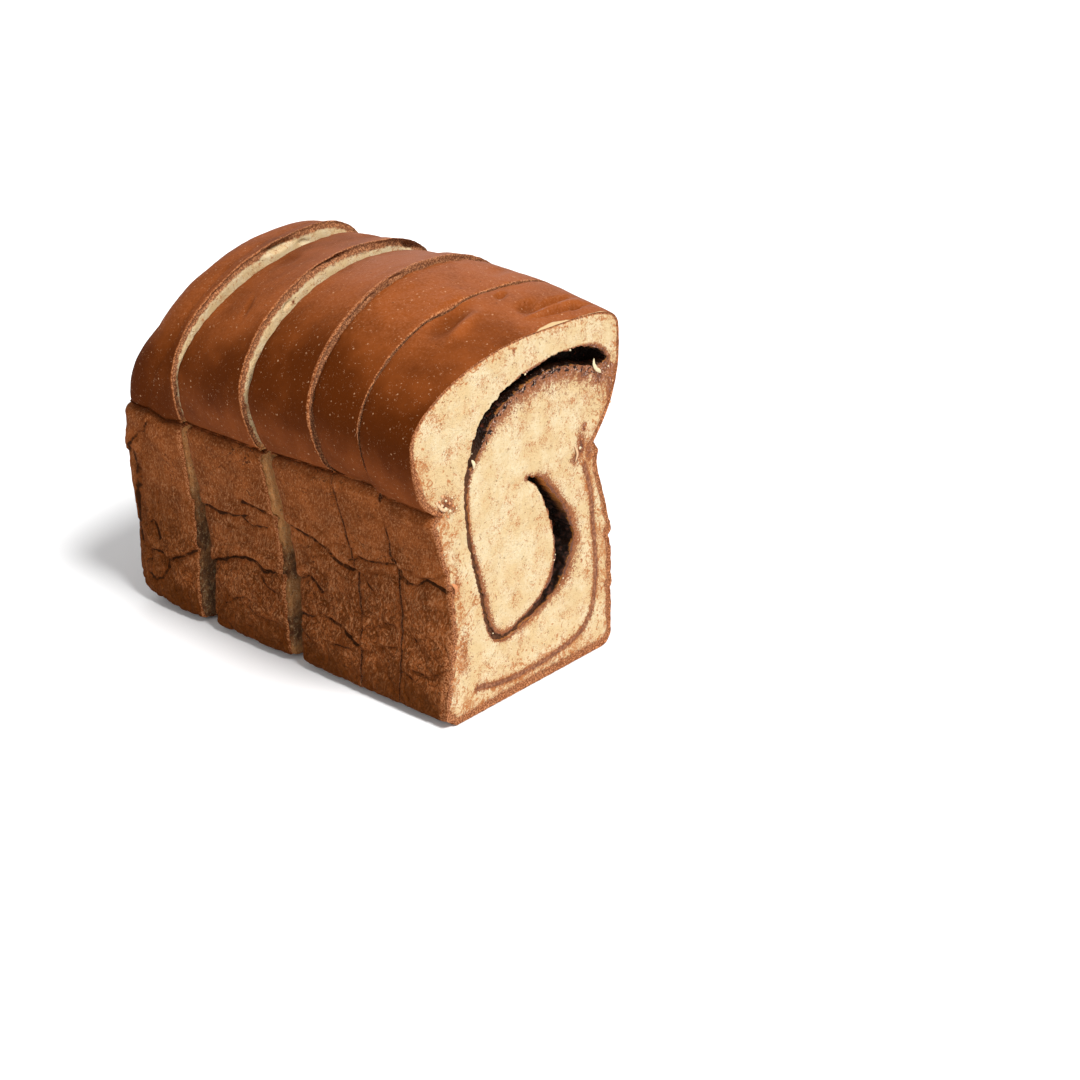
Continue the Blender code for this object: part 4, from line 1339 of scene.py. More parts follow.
# The chocolate in the swirl, from the face: how deep its front lies on the
# swirl's inner and outer side, in millimetres, at places along it
FILL_PLACES = (0, 1.0, 4.2, 5.2, 6.2, 12.6, 13.4, 14.6, 15.4, 16.2, 19.4, 20)
FILL_INSIDE = (0.6, 9.0, 9.0, 3.5, 0.9, 0.6, 0.5, 0.25, 0.25, 0.25, 0.3, 0.8)
FILL_OUTSIDE = (0.6, 9.0, 9.0, 7.0, 1.2, 0.6, 1.6, 4.0, 8.5, 9.5, 9.5, 2.0)
FILL_ACROSS = 24

# How far the chocolate reaches into the bread outside and inside the hollow
INTO_OUTER = 0.7 * MM
INTO_INNER = 0.6 * MM

# How deep in the heel a band ends, and how far it stands out of a back face
BAND_IN_HEEL = 0.03
BAND_PROUD = 0.1 * MM

# How dry the chocolate is, from 0 to 1, at places along the swirl
DRY_PLACES = (0, 4.0, 6.0, 7.0, 12.6, 13.4, 14.2, 20)
DRYNESS = (0.0, 0.0, 0.3, 0.9, 1.0, 0.5, 0.0, 0.0)


def band_mesh(name, index, front, side, height):
    """A closed band through a slice, from its front at these places to the
    slice's back face, or to a depth in the heel."""
    if index == HEEL:
        back = np.full(side.shape, CUT_BEHIND_FRONT[index] + BAND_IN_HEEL)
    else:
        back = back_face(index, side, height) + BAND_PROUD
    back_rows = in_space(back, side, height)[:, ::-1]
    grid = np.concatenate([in_space(front, side, height), back_rows], axis=1)
    return new_mesh(name, *closed(grid))


def filling_mesh(index):
    """The chocolate of one slice: a band carried along the swirl, reaching just
    into the bread on both sides, whose front is lumpy and lies as deep as the
    tables say, and whose back lies on the slice's back face."""
    line, half = swirl_line(index)
    half = half[:, None]
    place = np.arange(len(line)) / SWIRL_STEPS
    inside = np.interp(place, FILL_PLACES, FILL_INSIDE)[:, None] * MM
    outside = np.interp(place, FILL_PLACES, FILL_OUTSIDE)[:, None] * MM
    outer, inner = hollow_edges(place)
    glaze = np.interp(place, GLAZE_PLACES, GLAZE)[:, None]
    reach_out = np.maximum(outer, half) + INTO_OUTER
    reach_in = np.maximum(inner, half) + INTO_INNER + GLAZE_REACH * glaze
    a = np.linspace(-1.0, 1.0, FILL_ACROSS)[None, :]
    out = np.where(a > 0.0, a * reach_out, a * reach_in)
    side, height = beside(line, sideways(line), out)
    from_edge = out + inner
    into = inside + (outside - inside) * smoothstep(-0.2 * MM, 1.2 * MM, from_edge)
    points = np.stack([np.full(side.shape, 0.03 * index), side, height], -1)
    lumps = waves(points, (0.55, 0.0024, 181, 3), (0.22, 0.001, 191, 1))
    into = np.maximum(into + lumps * np.minimum(half / ROUGH_HALF, 1.0), 0.02 * MM)
    front = cut_behind(index, height) + into
    mesh = band_mesh(f"swirl_{HEEL + 1 - index}", index, front, side, height)
    dry = np.interp(place, DRY_PLACES, DRYNESS)
    set_attribute(mesh, "dry", np.append(np.repeat(dry, 2 * FILL_ACROSS), dry[[0, -1]]))
    smeared = smoothstep(0.6 * MM, -0.3 * MM, from_edge) * glaze
    smeared = np.concatenate([smeared, np.zeros_like(smeared)], axis=1).ravel()
    set_attribute(mesh, "smeared", np.append(smeared, [0.0, 0.0]))
    return mesh


def layer_mesh(index):
    """The thin chocolate dough of one slice: a ragged band through the slice,
    standing about 0.1 mm out of both cut faces."""
    line = smooth_curve(LAYER, LAYER_STEPS)
    a = np.linspace(-1.0, 1.0, LAYER_ACROSS)[None, :]
    spread = np.stack([np.full(len(line), 0.05 * index), line[:, 0], line[:, 1]], -1)
    half = LAYER_HALF_WIDTH * (1.15 + 0.95 * rough(spread, 0.0026, 201, 3))[:, None]
    drift = (0.6 * MM * rough(spread, 0.007, 211, 3))[:, None]
    side, height = beside(line, sideways(line), a * half + drift)
    points = np.stack([np.full(side.shape, 0.05 * index), side, height], -1)
    crown = 0.18 * MM * (1.0 - a**2) + 0.1 * MM * rough(points, 0.0015, 221, 2) - 0.06 * MM
    front = cut_behind(index, height) - crown + 0.12 * MM
    return band_mesh(f"layer_{HEEL + 1 - index}", index, front, side, height)


# Loose grains on the front face: side, height and size in millimetres, and how
# toasted they are from 0 to 1
GRAINS = (
    (24.8, 139.4, 0.9, 0.0), (-2.2, 136.6, 0.9, 0.0), (30.6, 96.1, 1.3, 0.0), (13.8, 52.0, 0.7, 0.0),
    (14.6, 54.2, 0.6, 0.0), (-33.4, 113.0, 0.5, 0.0), (8.6, 141.8, 0.5, 0.1), (12.2, 88.8, 0.5, 0.1),
    (-28.9, 57.8, 0.5, 0.0), (-31.6, 74.2, 0.4, 0.2), (19.4, 41.8, 0.7, 0.0), (17.2, 39.6, 0.5, 0.0),
    (-24.0, 33.0, 0.6, 0.1), (-47.0, 12.0, 0.8, 0.2), (33.4, 80.0, 0.5, 0.5), (-50.2, 100.6, 1.3, 0.6),
    (-48.4, 98.4, 1.1, 0.1), (-50.6, 97.0, 1.4, 0.3), (-48.8, 95.2, 1.5, 0.0), (-46.6, 96.8, 1.2, 0.7),
    (-46.4, 93.6, 1.3, 0.2), (-44.6, 95.0, 1.0, 0.9), (-44.4, 91.8, 0.9, 0.4), (-47.6, 91.6, 1.1, 0.8),
    (-45.0, 98.6, 0.8, 0.3), (-52.0, 99.0, 1.0, 1.0), (-42.8, 93.4, 0.8, 0.1), (31.8, 99.6, 0.9, 0.9),
    (33.8, 104.2, 0.8, 1.0), (29.4, 91.6, 0.9, 0.7), (50.0, 110.6, 0.9, 0.5), (51.4, 119.4, 1.0, 0.6),
    (48.6, 126.4, 0.9, 0.2), (46.8, 123.2, 0.7, 0.7),
)
GRAIN_ROWS = 7
GRAIN_AROUND = 10
GRAIN_TIP = 0.12
GRAIN_SEED = 300

# Torn strands on the front face: their points as (side, height, how far in
# front of the face) in millimetres, width in millimetres, and how toasted they
# are from 0 to 1
STRANDS = (
    (((40.4, 131.8, -0.6), (39.4, 129.6, 0.2), (41.0, 127.0, 0.4), (44.2, 124.8, 0.1)), 1.7, 0.0),
    (((42.0, 127.4, 0.1), (42.6, 126.2, 0.4), (43.8, 125.8, 0.1)), 1.2, 0.05),
    (((-33.8, 110.6, 0.2), (-32.8, 108.6, 0.5), (-32.6, 106.4, 0.1)), 1.6, 0.1),
    (((-53.4, 100.8, -0.9), (-51.8, 97.0, -0.1), (-49.2, 94.6, 0.0), (-46.2, 94.4, -0.3)), 1.3, 0.45),
    (((-46.4, 62.8, -0.4), (-44.6, 60.6, 0.4), (-44.8, 57.4, 0.0)), 1.8, 1.0),
    (((27.2, 98.4, -0.1), (28.6, 94.4, 0.4), (27.6, 90.6, 0.0)), 1.2, 0.45),
)
STRAND_STEPS = 6
STRAND_AROUND = 8
STRAND_FLATNESS = 0.4


def torn_strand(knots, width):
    """One torn strand: a flat ellipse carried along a curve, thinning to a point
    at both ends as sin(pi t)^0.6."""
    line = smooth_curve(np.asarray(knots) * MM, STRAND_STEPS)
    side, height, out = line.T
    path = in_space(cut_behind(0, height) - out, side, height)
    heading = np.gradient(path, axis=0)
    heading /= np.linalg.norm(heading, axis=1)[:, None]
    flat = np.cross(heading, [1.0, 0.0, 0.0])
    flat /= np.maximum(np.linalg.norm(flat, axis=1), 1e-9)[:, None]
    thick = np.cross(heading, flat)
    t = np.linspace(0.0, 1.0, len(path))
    half = 0.5 * width * MM * np.maximum(np.sin(math.pi * t), 0.0) ** 0.6 + 0.04 * MM
    angle = np.linspace(0.0, 2.0 * math.pi, STRAND_AROUND, endpoint=False)
    cos, sin = np.cos(angle)[None, :, None], np.sin(angle)[None, :, None]
    round_path = cos * flat[:, None] + STRAND_FLATNESS * sin * thick[:, None]
    grid = path[:, None] + half[:, None, None] * round_path
    points = np.vstack([grid.reshape(-1, 3), path[:1], path[-1:]])
    return points, outward(points, capped_tube(len(path), STRAND_AROUND))


def loose_grain(side, height, size, seed):
    """One loose grain: a sphere whose radius noise has made lumpy."""
    tilt = np.linspace(GRAIN_TIP, math.pi - GRAIN_TIP, GRAIN_ROWS)[:, None]
    turn = np.linspace(0.0, 2.0 * math.pi, GRAIN_AROUND, endpoint=False)[None, :]
    x = np.cos(tilt) * np.ones_like(turn)
    ball = np.stack([x, np.sin(tilt) * np.cos(turn), np.sin(tilt) * np.sin(turn)], -1)
    ball = np.vstack([ball.reshape(-1, 3), [[1.0, 0.0, 0.0], [-1.0, 0.0, 0.0]]])
    ball = ball * (1.0 + 0.45 * noise(ball, 0.9, seed))[:, None]
    middle = in_space(cut_behind(0, height * MM) - 0.1 * size * MM, side * MM, height * MM)
    points = middle + 0.5 * size * MM * ball * np.array([0.6, 1.0, 1.0])
    return points, outward(points, capped_tube(GRAIN_ROWS, GRAIN_AROUND))


def all_strands():
    """The points, quads and toasting of every torn strand."""
    return [(*torn_strand(knots, width), toasted) for knots, width, toasted in STRANDS]


def all_grains():
    """The points, quads and toasting of every loose grain."""
    rows = enumerate(GRAINS, GRAIN_SEED)
    return [(*loose_grain(*place, seed), toasted) for seed, (*place, toasted) in rows]


def joined_mesh(name, parts):
    """Small things as one mesh, each with its own toasting."""
    points, quads, toasted = zip(*parts)
    counts = [len(one) for one in points]
    starts = np.cumsum([0] + counts[:-1])
    quads = np.vstack([one + start for one, start in zip(quads, starts)])
    mesh = new_mesh(name, np.vstack(points), quads)
    set_attribute(mesh, "toasted", np.repeat(toasted, counts))
    return mesh


class Tree:
    """A material's nodes, written as calls: each call adds a node and returns
    its output, which goes into the next call."""

    def __init__(self, name):
        self.material = bpy.data.materials.new(name)
        self.material.use_nodes = True
        self.nodes = self.material.node_tree.nodes
        self.shader = self.nodes["Principled BSDF"]
        self.place = self.nodes.new("ShaderNodeTexCoord").outputs["Object"]

    def put(self, socket, value):
        """A link if the value is an output, or else the socket's own value."""
        if isinstance(value, bpy.types.NodeSocket):
            self.material.node_tree.links.new(value, socket)
        elif socket.type == "RGBA" and len(value) == 3:
            socket.default_value = (*value, 1.0)
        else:
            socket.default_value = value

    def add(self, kind, values, output, **settings):
        """The output of a new node with these input values and settings."""
        node = self.nodes.new("ShaderNode" + kind)
        for name, setting in settings.items():
            setattr(node, name, setting)
        for name, value in values.items():
            self.put(node.inputs[name], value)
        return node.outputs[output]

    def attribute(self, name):
        """The number that the mesh holds for a place under this name."""
        return self.add("Attribute", {}, "Fac", attribute_name=name)

    def along_axis(self, axis):
        """One coordinate of a place."""
        return self.add("SeparateXYZ", {"Vector": self.place}, axis)

    def height(self):
        """How high a place lies."""
        return self.along_axis("Z")

    def depth(self):
        """How far a place lies behind the front face of the loaf."""
        return self.minus(FRONT_X, self.along_axis("X"))

    def stretched(self, scale, turn):
        """The place turned back by these angles and multiplied by the scale, so
        that noise of it is drawn out along an axis whose scale is small."""
        values = {"Vector": self.place, "Rotation": turn, "Scale": tuple(1.0 / one for one in scale)}
        return self.add("Mapping", values, "Vector", vector_type="TEXTURE")

    def noise(self, scale, detail=3.0, roughness=0.55, distortion=0.0, vector=None):
        """Noise about 0.5, with about that many lumps to the metre."""
        values = {"Vector": vector or self.place, "Scale": scale, "Detail": detail}
        values.update({"Roughness": roughness, "Distortion": distortion})
        return self.add("TexNoise", values, "Fac")

    def cells(self, scale):
        """Distance to the nearest of many scattered points."""
        return self.add("TexVoronoi", {"Vector": self.place, "Scale": scale}, "Distance")

    def math(self, operation, a, b=0.0):
        """One of Blender's sums, of values or of outputs."""
        return self.add("Math", {0: a, 1: b}, 0, operation=operation)

    def plus(self, a, b):
        """a + b."""
        return self.math("ADD", a, b)

    def minus(self, a, b):
        """a - b."""
        return self.math("SUBTRACT", a, b)

    def times(self, a, b):
        """a x b."""
        return self.math("MULTIPLY", a, b)

    def larger(self, a, b):
        """The larger of two values."""
        return self.math("MAXIMUM", a, b)

    def swing(self, noise, width):
        """(noise - 0.5) x width, which goes to both sides of 0."""
        return self.times(self.minus(noise, 0.5), width)

    def seam(self, noise):
        """|noise - 0.5|, which is 0 along winding lines."""
        return self.math("ABSOLUTE", self.minus(noise, 0.5))

    def step(self, value, low, high):
        """0 at low, 1 at high, and smooth in between; low may be the larger."""
        start, end = (0.0, 1.0) if low < high else (1.0, 0.0)
        values = {"Value": value, "From Min": min(low, high), "From Max": max(low, high)}
        values.update({"To Min": start, "To Max": end})
        return self.add("MapRange", values, "Result", interpolation_type="SMOOTHSTEP")

    def mix(self, share, a, b):
        """Colour a where the share is 0, and b where it is 1."""
        return self.add("Mix", {"Factor": share, "A": a, "B": b}, "Result", data_type="RGBA")

    def paint(self, under, over, share, strength):
        """A colour laid over another one: mixed by share x strength."""
        return self.mix(self.times(share, strength), under, over)

    def bump(self, height, distance, strength):
        """A normal that follows a height, which is multiplied by the distance."""
        values = {"Height": height, "Distance": distance, "Strength": strength}
        return self.add("Bump", values, "Normal")

    def finish(self, colour, roughness, normal, specular):
        """The material, with its shader set."""
        self.put(self.shader.inputs["Base Color"], colour)
        self.put(self.shader.inputs["Roughness"], roughness)
        if normal is not None:
            self.put(self.shader.inputs["Normal"], normal)
        self.shader.inputs["Specular IOR Level"].default_value = specular
        return self.material


def dome_colour(t, colours, bake_and_shading):
    """Colour of the domed top: from light to deep brown by how baked it is, which
    also carries painted light and shade, with a pale grain as painted sheen where
    it is lightest, small pale specks, and pores darkened as painted shade."""
    grain = t.noise(900.0, 4.0, 0.6)
    # Mix towards the dark brown by the tone, which holds painted shade on the shoulders and in the dents
    deep = t.plus(t.times(bake_and_shading, 0.85), t.swing(t.noise(55.0, 3.0), 0.9))
    dome = t.mix(t.step(deep, -0.1, 0.95), colours.dome, colours.dome_dark_and_shade)
    # Painted sheen: a pale grain laid over the lightest, top part of the dome
    painted_sheen = t.times(t.step(grain, 0.4, 0.68), t.step(bake_and_shading, 0.75, 0.15))
    dome = t.paint(dome, colours.dome_sheen, painted_sheen, 0.6)
    size = t.swing(t.noise(1100.0, 2.0), 0.34)
    speck = t.step(t.plus(t.cells(330.0), size), 0.15, 0.06)
    speck = t.times(t.times(speck, t.step(t.noise(150.0, 0.0), 0.4, 0.52)), 0.5)
    crumbly = t.times(t.step(t.noise(820.0, 3.0, 0.7, 1.4), 0.635, 0.69), 0.42)
    dome = t.mix(t.larger(speck, crumbly), dome, colours.speck)
    # Dark dots at the crust's pores: painted shade in them
    return t.paint(dome, colours.dome_dark_and_shade, t.step(t.cells(170.0), 0.09, 0.04), 0.6)


def pan_colour(t, colours, waver):
    """Colour of the pan wall, and the four fields that its relief shares: fibres
    all over it, shaggy strands and soft folds low down, and thin cracks. Its
    foot and its rear are darker, as painted shade, as are the hollows between
    fibres and strands, the soft folds, the cracks and broad puffs low down, and
    creases are darkest, with painted shadow under their ledges."""
    patch = t.noise(90.0, 3.0)
    fibre = t.noise(1500.0, 4.0, 0.62, 0.8, t.stretched((1.0, 1.0, 0.5), (0.0, 0.35, 0.0)))
    pan = t.mix(t.step(patch, 0.32, 0.7), colours.wall_dark_and_shade, colours.wall)
    # Pale raised fibres, partly painted light on them, and painted shade between them
    pan = t.paint(pan, colours.wall_pale_and_lit, t.step(fibre, 0.5, 0.68), 0.62)
    pan = t.paint(pan, colours.crease, t.step(fibre, 0.47, 0.3), 0.6)

    strand = t.noise(620.0, 3.0, 0.55, 2.2, t.stretched((1.0, 1.0, 0.36), (0.0, 0.3, 0.0)))
    shaggy = t.step(t.plus(t.height(), t.swing(patch, 0.08)), 0.095, 0.05)
    # Pale raised strands low down, partly painted light on them, and painted shade between them
    pan = t.paint(pan, colours.wall_pale_and_lit, t.step(strand, 0.52, 0.64), t.times(shaggy, 0.5))
    pan = t.paint(pan, colours.wall_shade, t.step(strand, 0.47, 0.38), t.times(shaggy, 0.36))
    # Painted shade of broad bulges low down on the wall
    puff_shade = t.step(t.noise(78.0, 2.0), 0.5, 0.34)
    pan = t.paint(pan, colours.wall_shade, puff_shade, t.times(shaggy, 0.2))

    bent = t.noise(210.0, 3.0, 0.5, 1.8, t.stretched((1.0, 1.0, 0.65), (0.0, -0.4, 0.0)))
    foot = t.plus(t.height(), t.swing(patch, 0.06))
    # Painted shade in the soft folds low down
    fold = t.times(t.step(t.seam(bent), 0.05, 0.006), t.step(foot, 0.066, 0.034))
    pan = t.paint(pan, colours.wall_shade, fold, 0.75)
    # Painted shade in thin cracks
    crack = t.step(t.seam(t.noise(130.0, 3.0, 0.6, 1.2)), 0.012, 0.003)
    crack = t.times(crack, t.step(t.noise(45.0, 2.0), 0.52, 0.62))
    pan = t.paint(pan, colours.crease, crack, 0.75)

    # Painted shade: darker towards the foot, and low down towards the heel's end
    base = t.plus(t.height(), t.swing(patch, 0.03))
    low = t.times(t.step(base, 0.024, 0.004), 0.84)
    rear = t.times(t.step(t.depth(), 0.14, 0.19), t.step(t.height(), 0.085, 0.03))
    pan = t.mix(t.larger(low, t.times(rear, 0.5)), pan, colours.wall_shade)

    # Painted shade: soft round the creases, furrows and cuts, and darkest in the strips under the ledges
    uneven = t.swing(t.noise(160.0, 1.0), 1.1)
    crease = t.plus(t.attribute("crease"), t.plus(waver, uneven))
    pan = t.paint(pan, colours.wall_dark_and_shade, t.step(crease, 2.0, 0.5), 0.45)
    pan = t.paint(pan, colours.crease, t.step(crease, 0.62, 0.12), 0.92)
    return pan, fibre, t.times(strand, shaggy), fold, crack


def crust_material(colours):
    """Satin brown dome and matt fibrous pan wall, with a torn orange edge along
    the cuts, and bare crumb where the skin has come off."""
    t = Tree("crust")
    wall = t.attribute("wall")
    # The tone holds painted light and shade as well as baking
    bake_and_shading = t.attribute("bake_and_shading")
    waver = t.swing(t.noise(700.0, 3.0), 0.9)
    pan, fibre, tufts, fold, crack = pan_colour(t, colours, waver)
    colour = t.mix(wall, dome_colour(t, colours, bake_and_shading), pan)
    torn = t.mix(t.step(t.noise(1500.0, 3.0), 0.42, 0.6), colours.torn_dark, colours.torn)
    edge = t.plus(t.attribute("edge"), t.times(waver, 1.2))
    colour = t.paint(colour, torn, t.step(edge, 1.4, 0.6), 0.85)
    bare = t.plus(t.attribute("bare"), t.times(waver, 0.8))
    colour = t.paint(colour, colours.crumb_deep, t.step(bare, 0.0, 0.35), 0.85)

    relief = t.times(t.noise(1500.0, 4.0, 0.6), 0.35)
    relief = t.plus(relief, t.times(t.noise(380.0, 2.0), 0.3))
    relief = t.plus(relief, t.times(fibre, t.times(wall, 1.8)))
    relief = t.minus(relief, t.times(crack, t.times(wall, 0.8)))
    relief = t.minus(relief, t.times(fold, t.times(wall, 1.6)))
    relief = t.plus(relief, t.times(t.times(tufts, wall), 2.6))
    roughness = t.plus(t.times(t.larger(wall, bake_and_shading), 0.48), 0.42)
    return t.finish(colour, roughness, t.bump(relief, 0.00045, 0.75), 0.045)


def plain_crumb(t, colours, stain, pore):
    """Cream crumb with toasted flecks, denser near the rim of the front face."""
    rim = t.attribute("rim")
    front = t.attribute("front")
    crumb = t.mix(t.step(t.noise(110.0, 3.0), 0.35, 0.7), colours.crumb_deep, colours.crumb)
    grain = t.step(t.noise(820.0, 4.0, 0.65), 0.44, 0.62)
    crumb = t.paint(crumb, colours.crumb_deep, grain, 0.55)
    fleck = t.plus(t.noise(980.0, 4.0, 0.66, 1.4), t.swing(t.noise(130.0, 3.0), 0.6))
    fleck = t.plus(fleck, t.times(stain, 0.25))
    near_rim = t.times(t.step(rim, 5.0, 0.8), front)
    fleck = t.plus(fleck, t.times(near_rim, 0.1))
    crumb = t.paint(crumb, colours.toast_and_pore_shade, t.step(fleck, 0.52, 0.64), 0.26)
    crumb = t.paint(crumb, colours.toast_and_pore_shade, t.step(fleck, 0.6, 0.675), 0.7)
    dab = t.plus(t.noise(330.0, 4.0, 0.6, 1.6), t.times(stain, 0.08))
    reach = t.times(t.step(rim, 8.0, 1.5), front)
    dab = t.plus(dab, t.times(reach, 0.115))
    crumb = t.paint(crumb, colours.toast_and_pore_shade, t.step(dab, 0.635, 0.69), 0.8)
    # Pores painted toast brown: painted shade in their hollows
    return t.paint(crumb, colours.toast_and_pore_shade, pore, 0.45)


def gap_shade_colour(t, colours, gap_shade):
    """Crumb inside a gap under painted shade: orange brown and darker with depth,
    pale in places, with its pores painted dark."""
    shade = t.plus(gap_shade, t.swing(t.noise(300.0, 3.0), 0.8))
    gap = t.mix(shade, colours.gap, colours.gap_shade)
    gap = t.paint(gap, colours.crumb_deep, t.step(t.noise(700.0, 4.0, 0.65), 0.52, 0.64), 0.34)
    hole = t.times(t.step(t.cells(430.0), 0.26, 0.1), t.step(t.noise(200.0, 1.0), 0.42, 0.56))
    return t.paint(gap, colours.gap_shade, hole, 0.65)


def crumb_material(colours):
    """Cream crumb with toasted specks, brown stains beside the chocolate, the
    porous brown crust at its rim, and painted shade on the crumb in the gaps."""
    t = Tree("crumb")
    stain = t.attribute("stain")
    pore = t.step(t.cells(520.0), 0.22, 0.08)
    pore = t.times(pore, t.step(t.noise(260.0, 1.0), 0.5, 0.65))
    crumb = plain_crumb(t, colours, stain, pore)

    uneven = t.swing(t.noise(560.0, 5.0, 0.75, 1.6), 3.4)
    dirty = t.step(t.plus(stain, uneven), 0.34, 0.52)
    crumb = t.paint(crumb, colours.stain, dirty, 0.92)
    clot = t.times(t.step(t.noise(480.0, 4.0, 0.7, 1.0), 0.5, 0.6), t.step(stain, 0.45, 0.85))
    crumb = t.paint(crumb, colours.stain_dark, clot, 0.8)
    wet = t.step(t.plus(stain, t.times(uneven, 0.25)), 0.9, 1.02)
    crumb = t.paint(crumb, colours.stain_dark, wet, 0.88)
    salt = t.times(t.step(t.noise(1150.0, 3.0, 0.6), 0.58, 0.64), t.step(stain, 0.4, 0.7))
    salt = t.times(salt, t.step(t.height(), 0.084, 0.1))
    crumb = t.paint(crumb, colours.pale_grain_and_glint, salt, 0.7)

    rim = t.plus(t.attribute("rim"), t.swing(t.noise(520.0, 4.0, 0.65), 1.1))
    crust = t.mix(t.step(t.noise(1500.0, 3.0, 0.6), 0.45, 0.62), colours.torn_dark, colours.torn)
    colour = t.paint(crumb, crust, t.step(rim, 1.2, 0.85), 0.94)
    # Painted shade in the gaps between the slices
    gap_shade = t.attribute("gap_shade")
    colour = t.paint(colour, gap_shade_colour(t, colours, gap_shade), t.step(gap_shade, 0.02, 0.16), 0.94)

    relief = t.plus(t.times(t.noise(650.0, 4.0, 0.6), 0.9), t.noise(2200.0, 2.0))
    relief = t.minus(relief, t.times(pore, 1.2))
    roughness = t.minus(0.9, t.times(wet, 0.45))
    return t.finish(colour, roughness, t.bump(relief, 0.0006, 0.9), 0.25)


def crumbs_material(colours):
    """Pale grains, and strands toasted orange."""
    t = Tree("crumbs")
    patch = t.plus(t.attribute("toasted"), t.times(t.noise(900.0, 3.0), 0.5))
    colour = t.mix(t.step(patch, 0.3, 1.1), colours.crumb, colours.torn)
    return t.finish(colour, 0.75, t.bump(t.noise(1800.0, 3.0), 0.0003, 0.8), 0.3)


def lining_material(colours):
    """Inside of the hollow: bread soaked with chocolate, near black, which also
    stands in for the hollow's shade, partly glossy, and orange brown at its lip
    and deeper in the pocket, where that is partly painted light."""
    t = Tree("hollow_lining")
    patch = t.noise(420.0, 4.0, 0.6)
    # Near-black soaked bread, also painted shade in the hollow
    colour = t.mix(t.step(patch, 0.5, 0.7), colours.filling, colours.stain_dark)
    depth = t.plus(t.depth(), t.swing(patch, 0.006))
    # Orange brown deeper in the pocket only: soaked crumb, partly painted light where the pocket's wall is
    # lit
    pocket = t.times(t.step(t.height(), 0.104, 0.094), t.step(t.height(), 0.066, 0.084))
    colour = t.paint(colour, colours.soaked, t.step(depth, 0.006, 0.002), pocket)
    colour = t.paint(colour, colours.soaked, t.step(depth, 0.0016, 0.0004), 0.7)
    relief = t.noise(900.0, 4.0, 0.6)
    roughness = t.plus(t.times(t.step(patch, 0.4, 0.6), 0.4), 0.3)
    return t.finish(colour, roughness, t.bump(relief, 0.0005, 0.9), 0.4)


def filling_material(colours):
    """Glossy dark chocolate with lumps and a few lighter smears, dry where the
    swirl is thin, and smeared on the bread beside the hollow, with painted glints
    on the smear."""
    t = Tree("chocolate_filling")
    smear = t.noise(520.0, 4.0, 0.6, 0.8)
    colour = t.mix(t.step(smear, 0.56, 0.74), colours.filling, colours.filling_light)
    dry = t.attribute("dry")
    colour = t.paint(colour, colours.filling_dry, dry, t.step(smear, 0.2, 0.5))
    smeared = t.plus(t.attribute("smeared"), t.swing(smear, 2.2))
    colour = t.paint(colour, colours.smear, t.step(smeared, 0.95, 1.3), 0.9)
    # Painted glints: pale spots on the wet smear
    grains = t.times(t.step(t.noise(1000.0, 3.0), 0.56, 0.62), t.step(smeared, 0.5, 0.9))
    colour = t.paint(colour, colours.pale_grain_and_glint, grains, 0.85)
    relief = t.plus(t.noise(700.0, 3.0), t.times(t.noise(1800.0, 2.0), 0.5))
    roughness = t.plus(t.times(t.noise(600.0, 2.0), 0.35), 0.02)
    roughness = t.plus(roughness, t.times(dry, 0.55))
    return t.finish(colour, roughness, t.bump(relief, 0.0008, 1.0), 0.07)


def dough_material(colours):
    """Pinkish brown chocolate dough, crumbly."""
    t = Tree("chocolate_dough")
    patch = t.noise(700.0, 4.0, 0.65)
    colour = t.mix(t.step(patch, 0.4, 0.66), colours.dough, colours.dough_light)
    relief = t.noise(1400.0, 4.0, 0.6)
    return t.finish(colour, 0.85, t.bump(relief, 0.0004, 0.8), 0.25)


def floor_material(colour):
    """Matt floor of one colour."""
    return Tree("floor").finish(tuple(colour), 0.9, None, 0.1)


def colour_property(name, description, default):
    """A colour that a user can change."""
    return bpy.props.FloatVectorProperty(
        name=name, description=description, default=default, size=3,
        subtype="COLOR", min=0.0, max=1.0,
    )


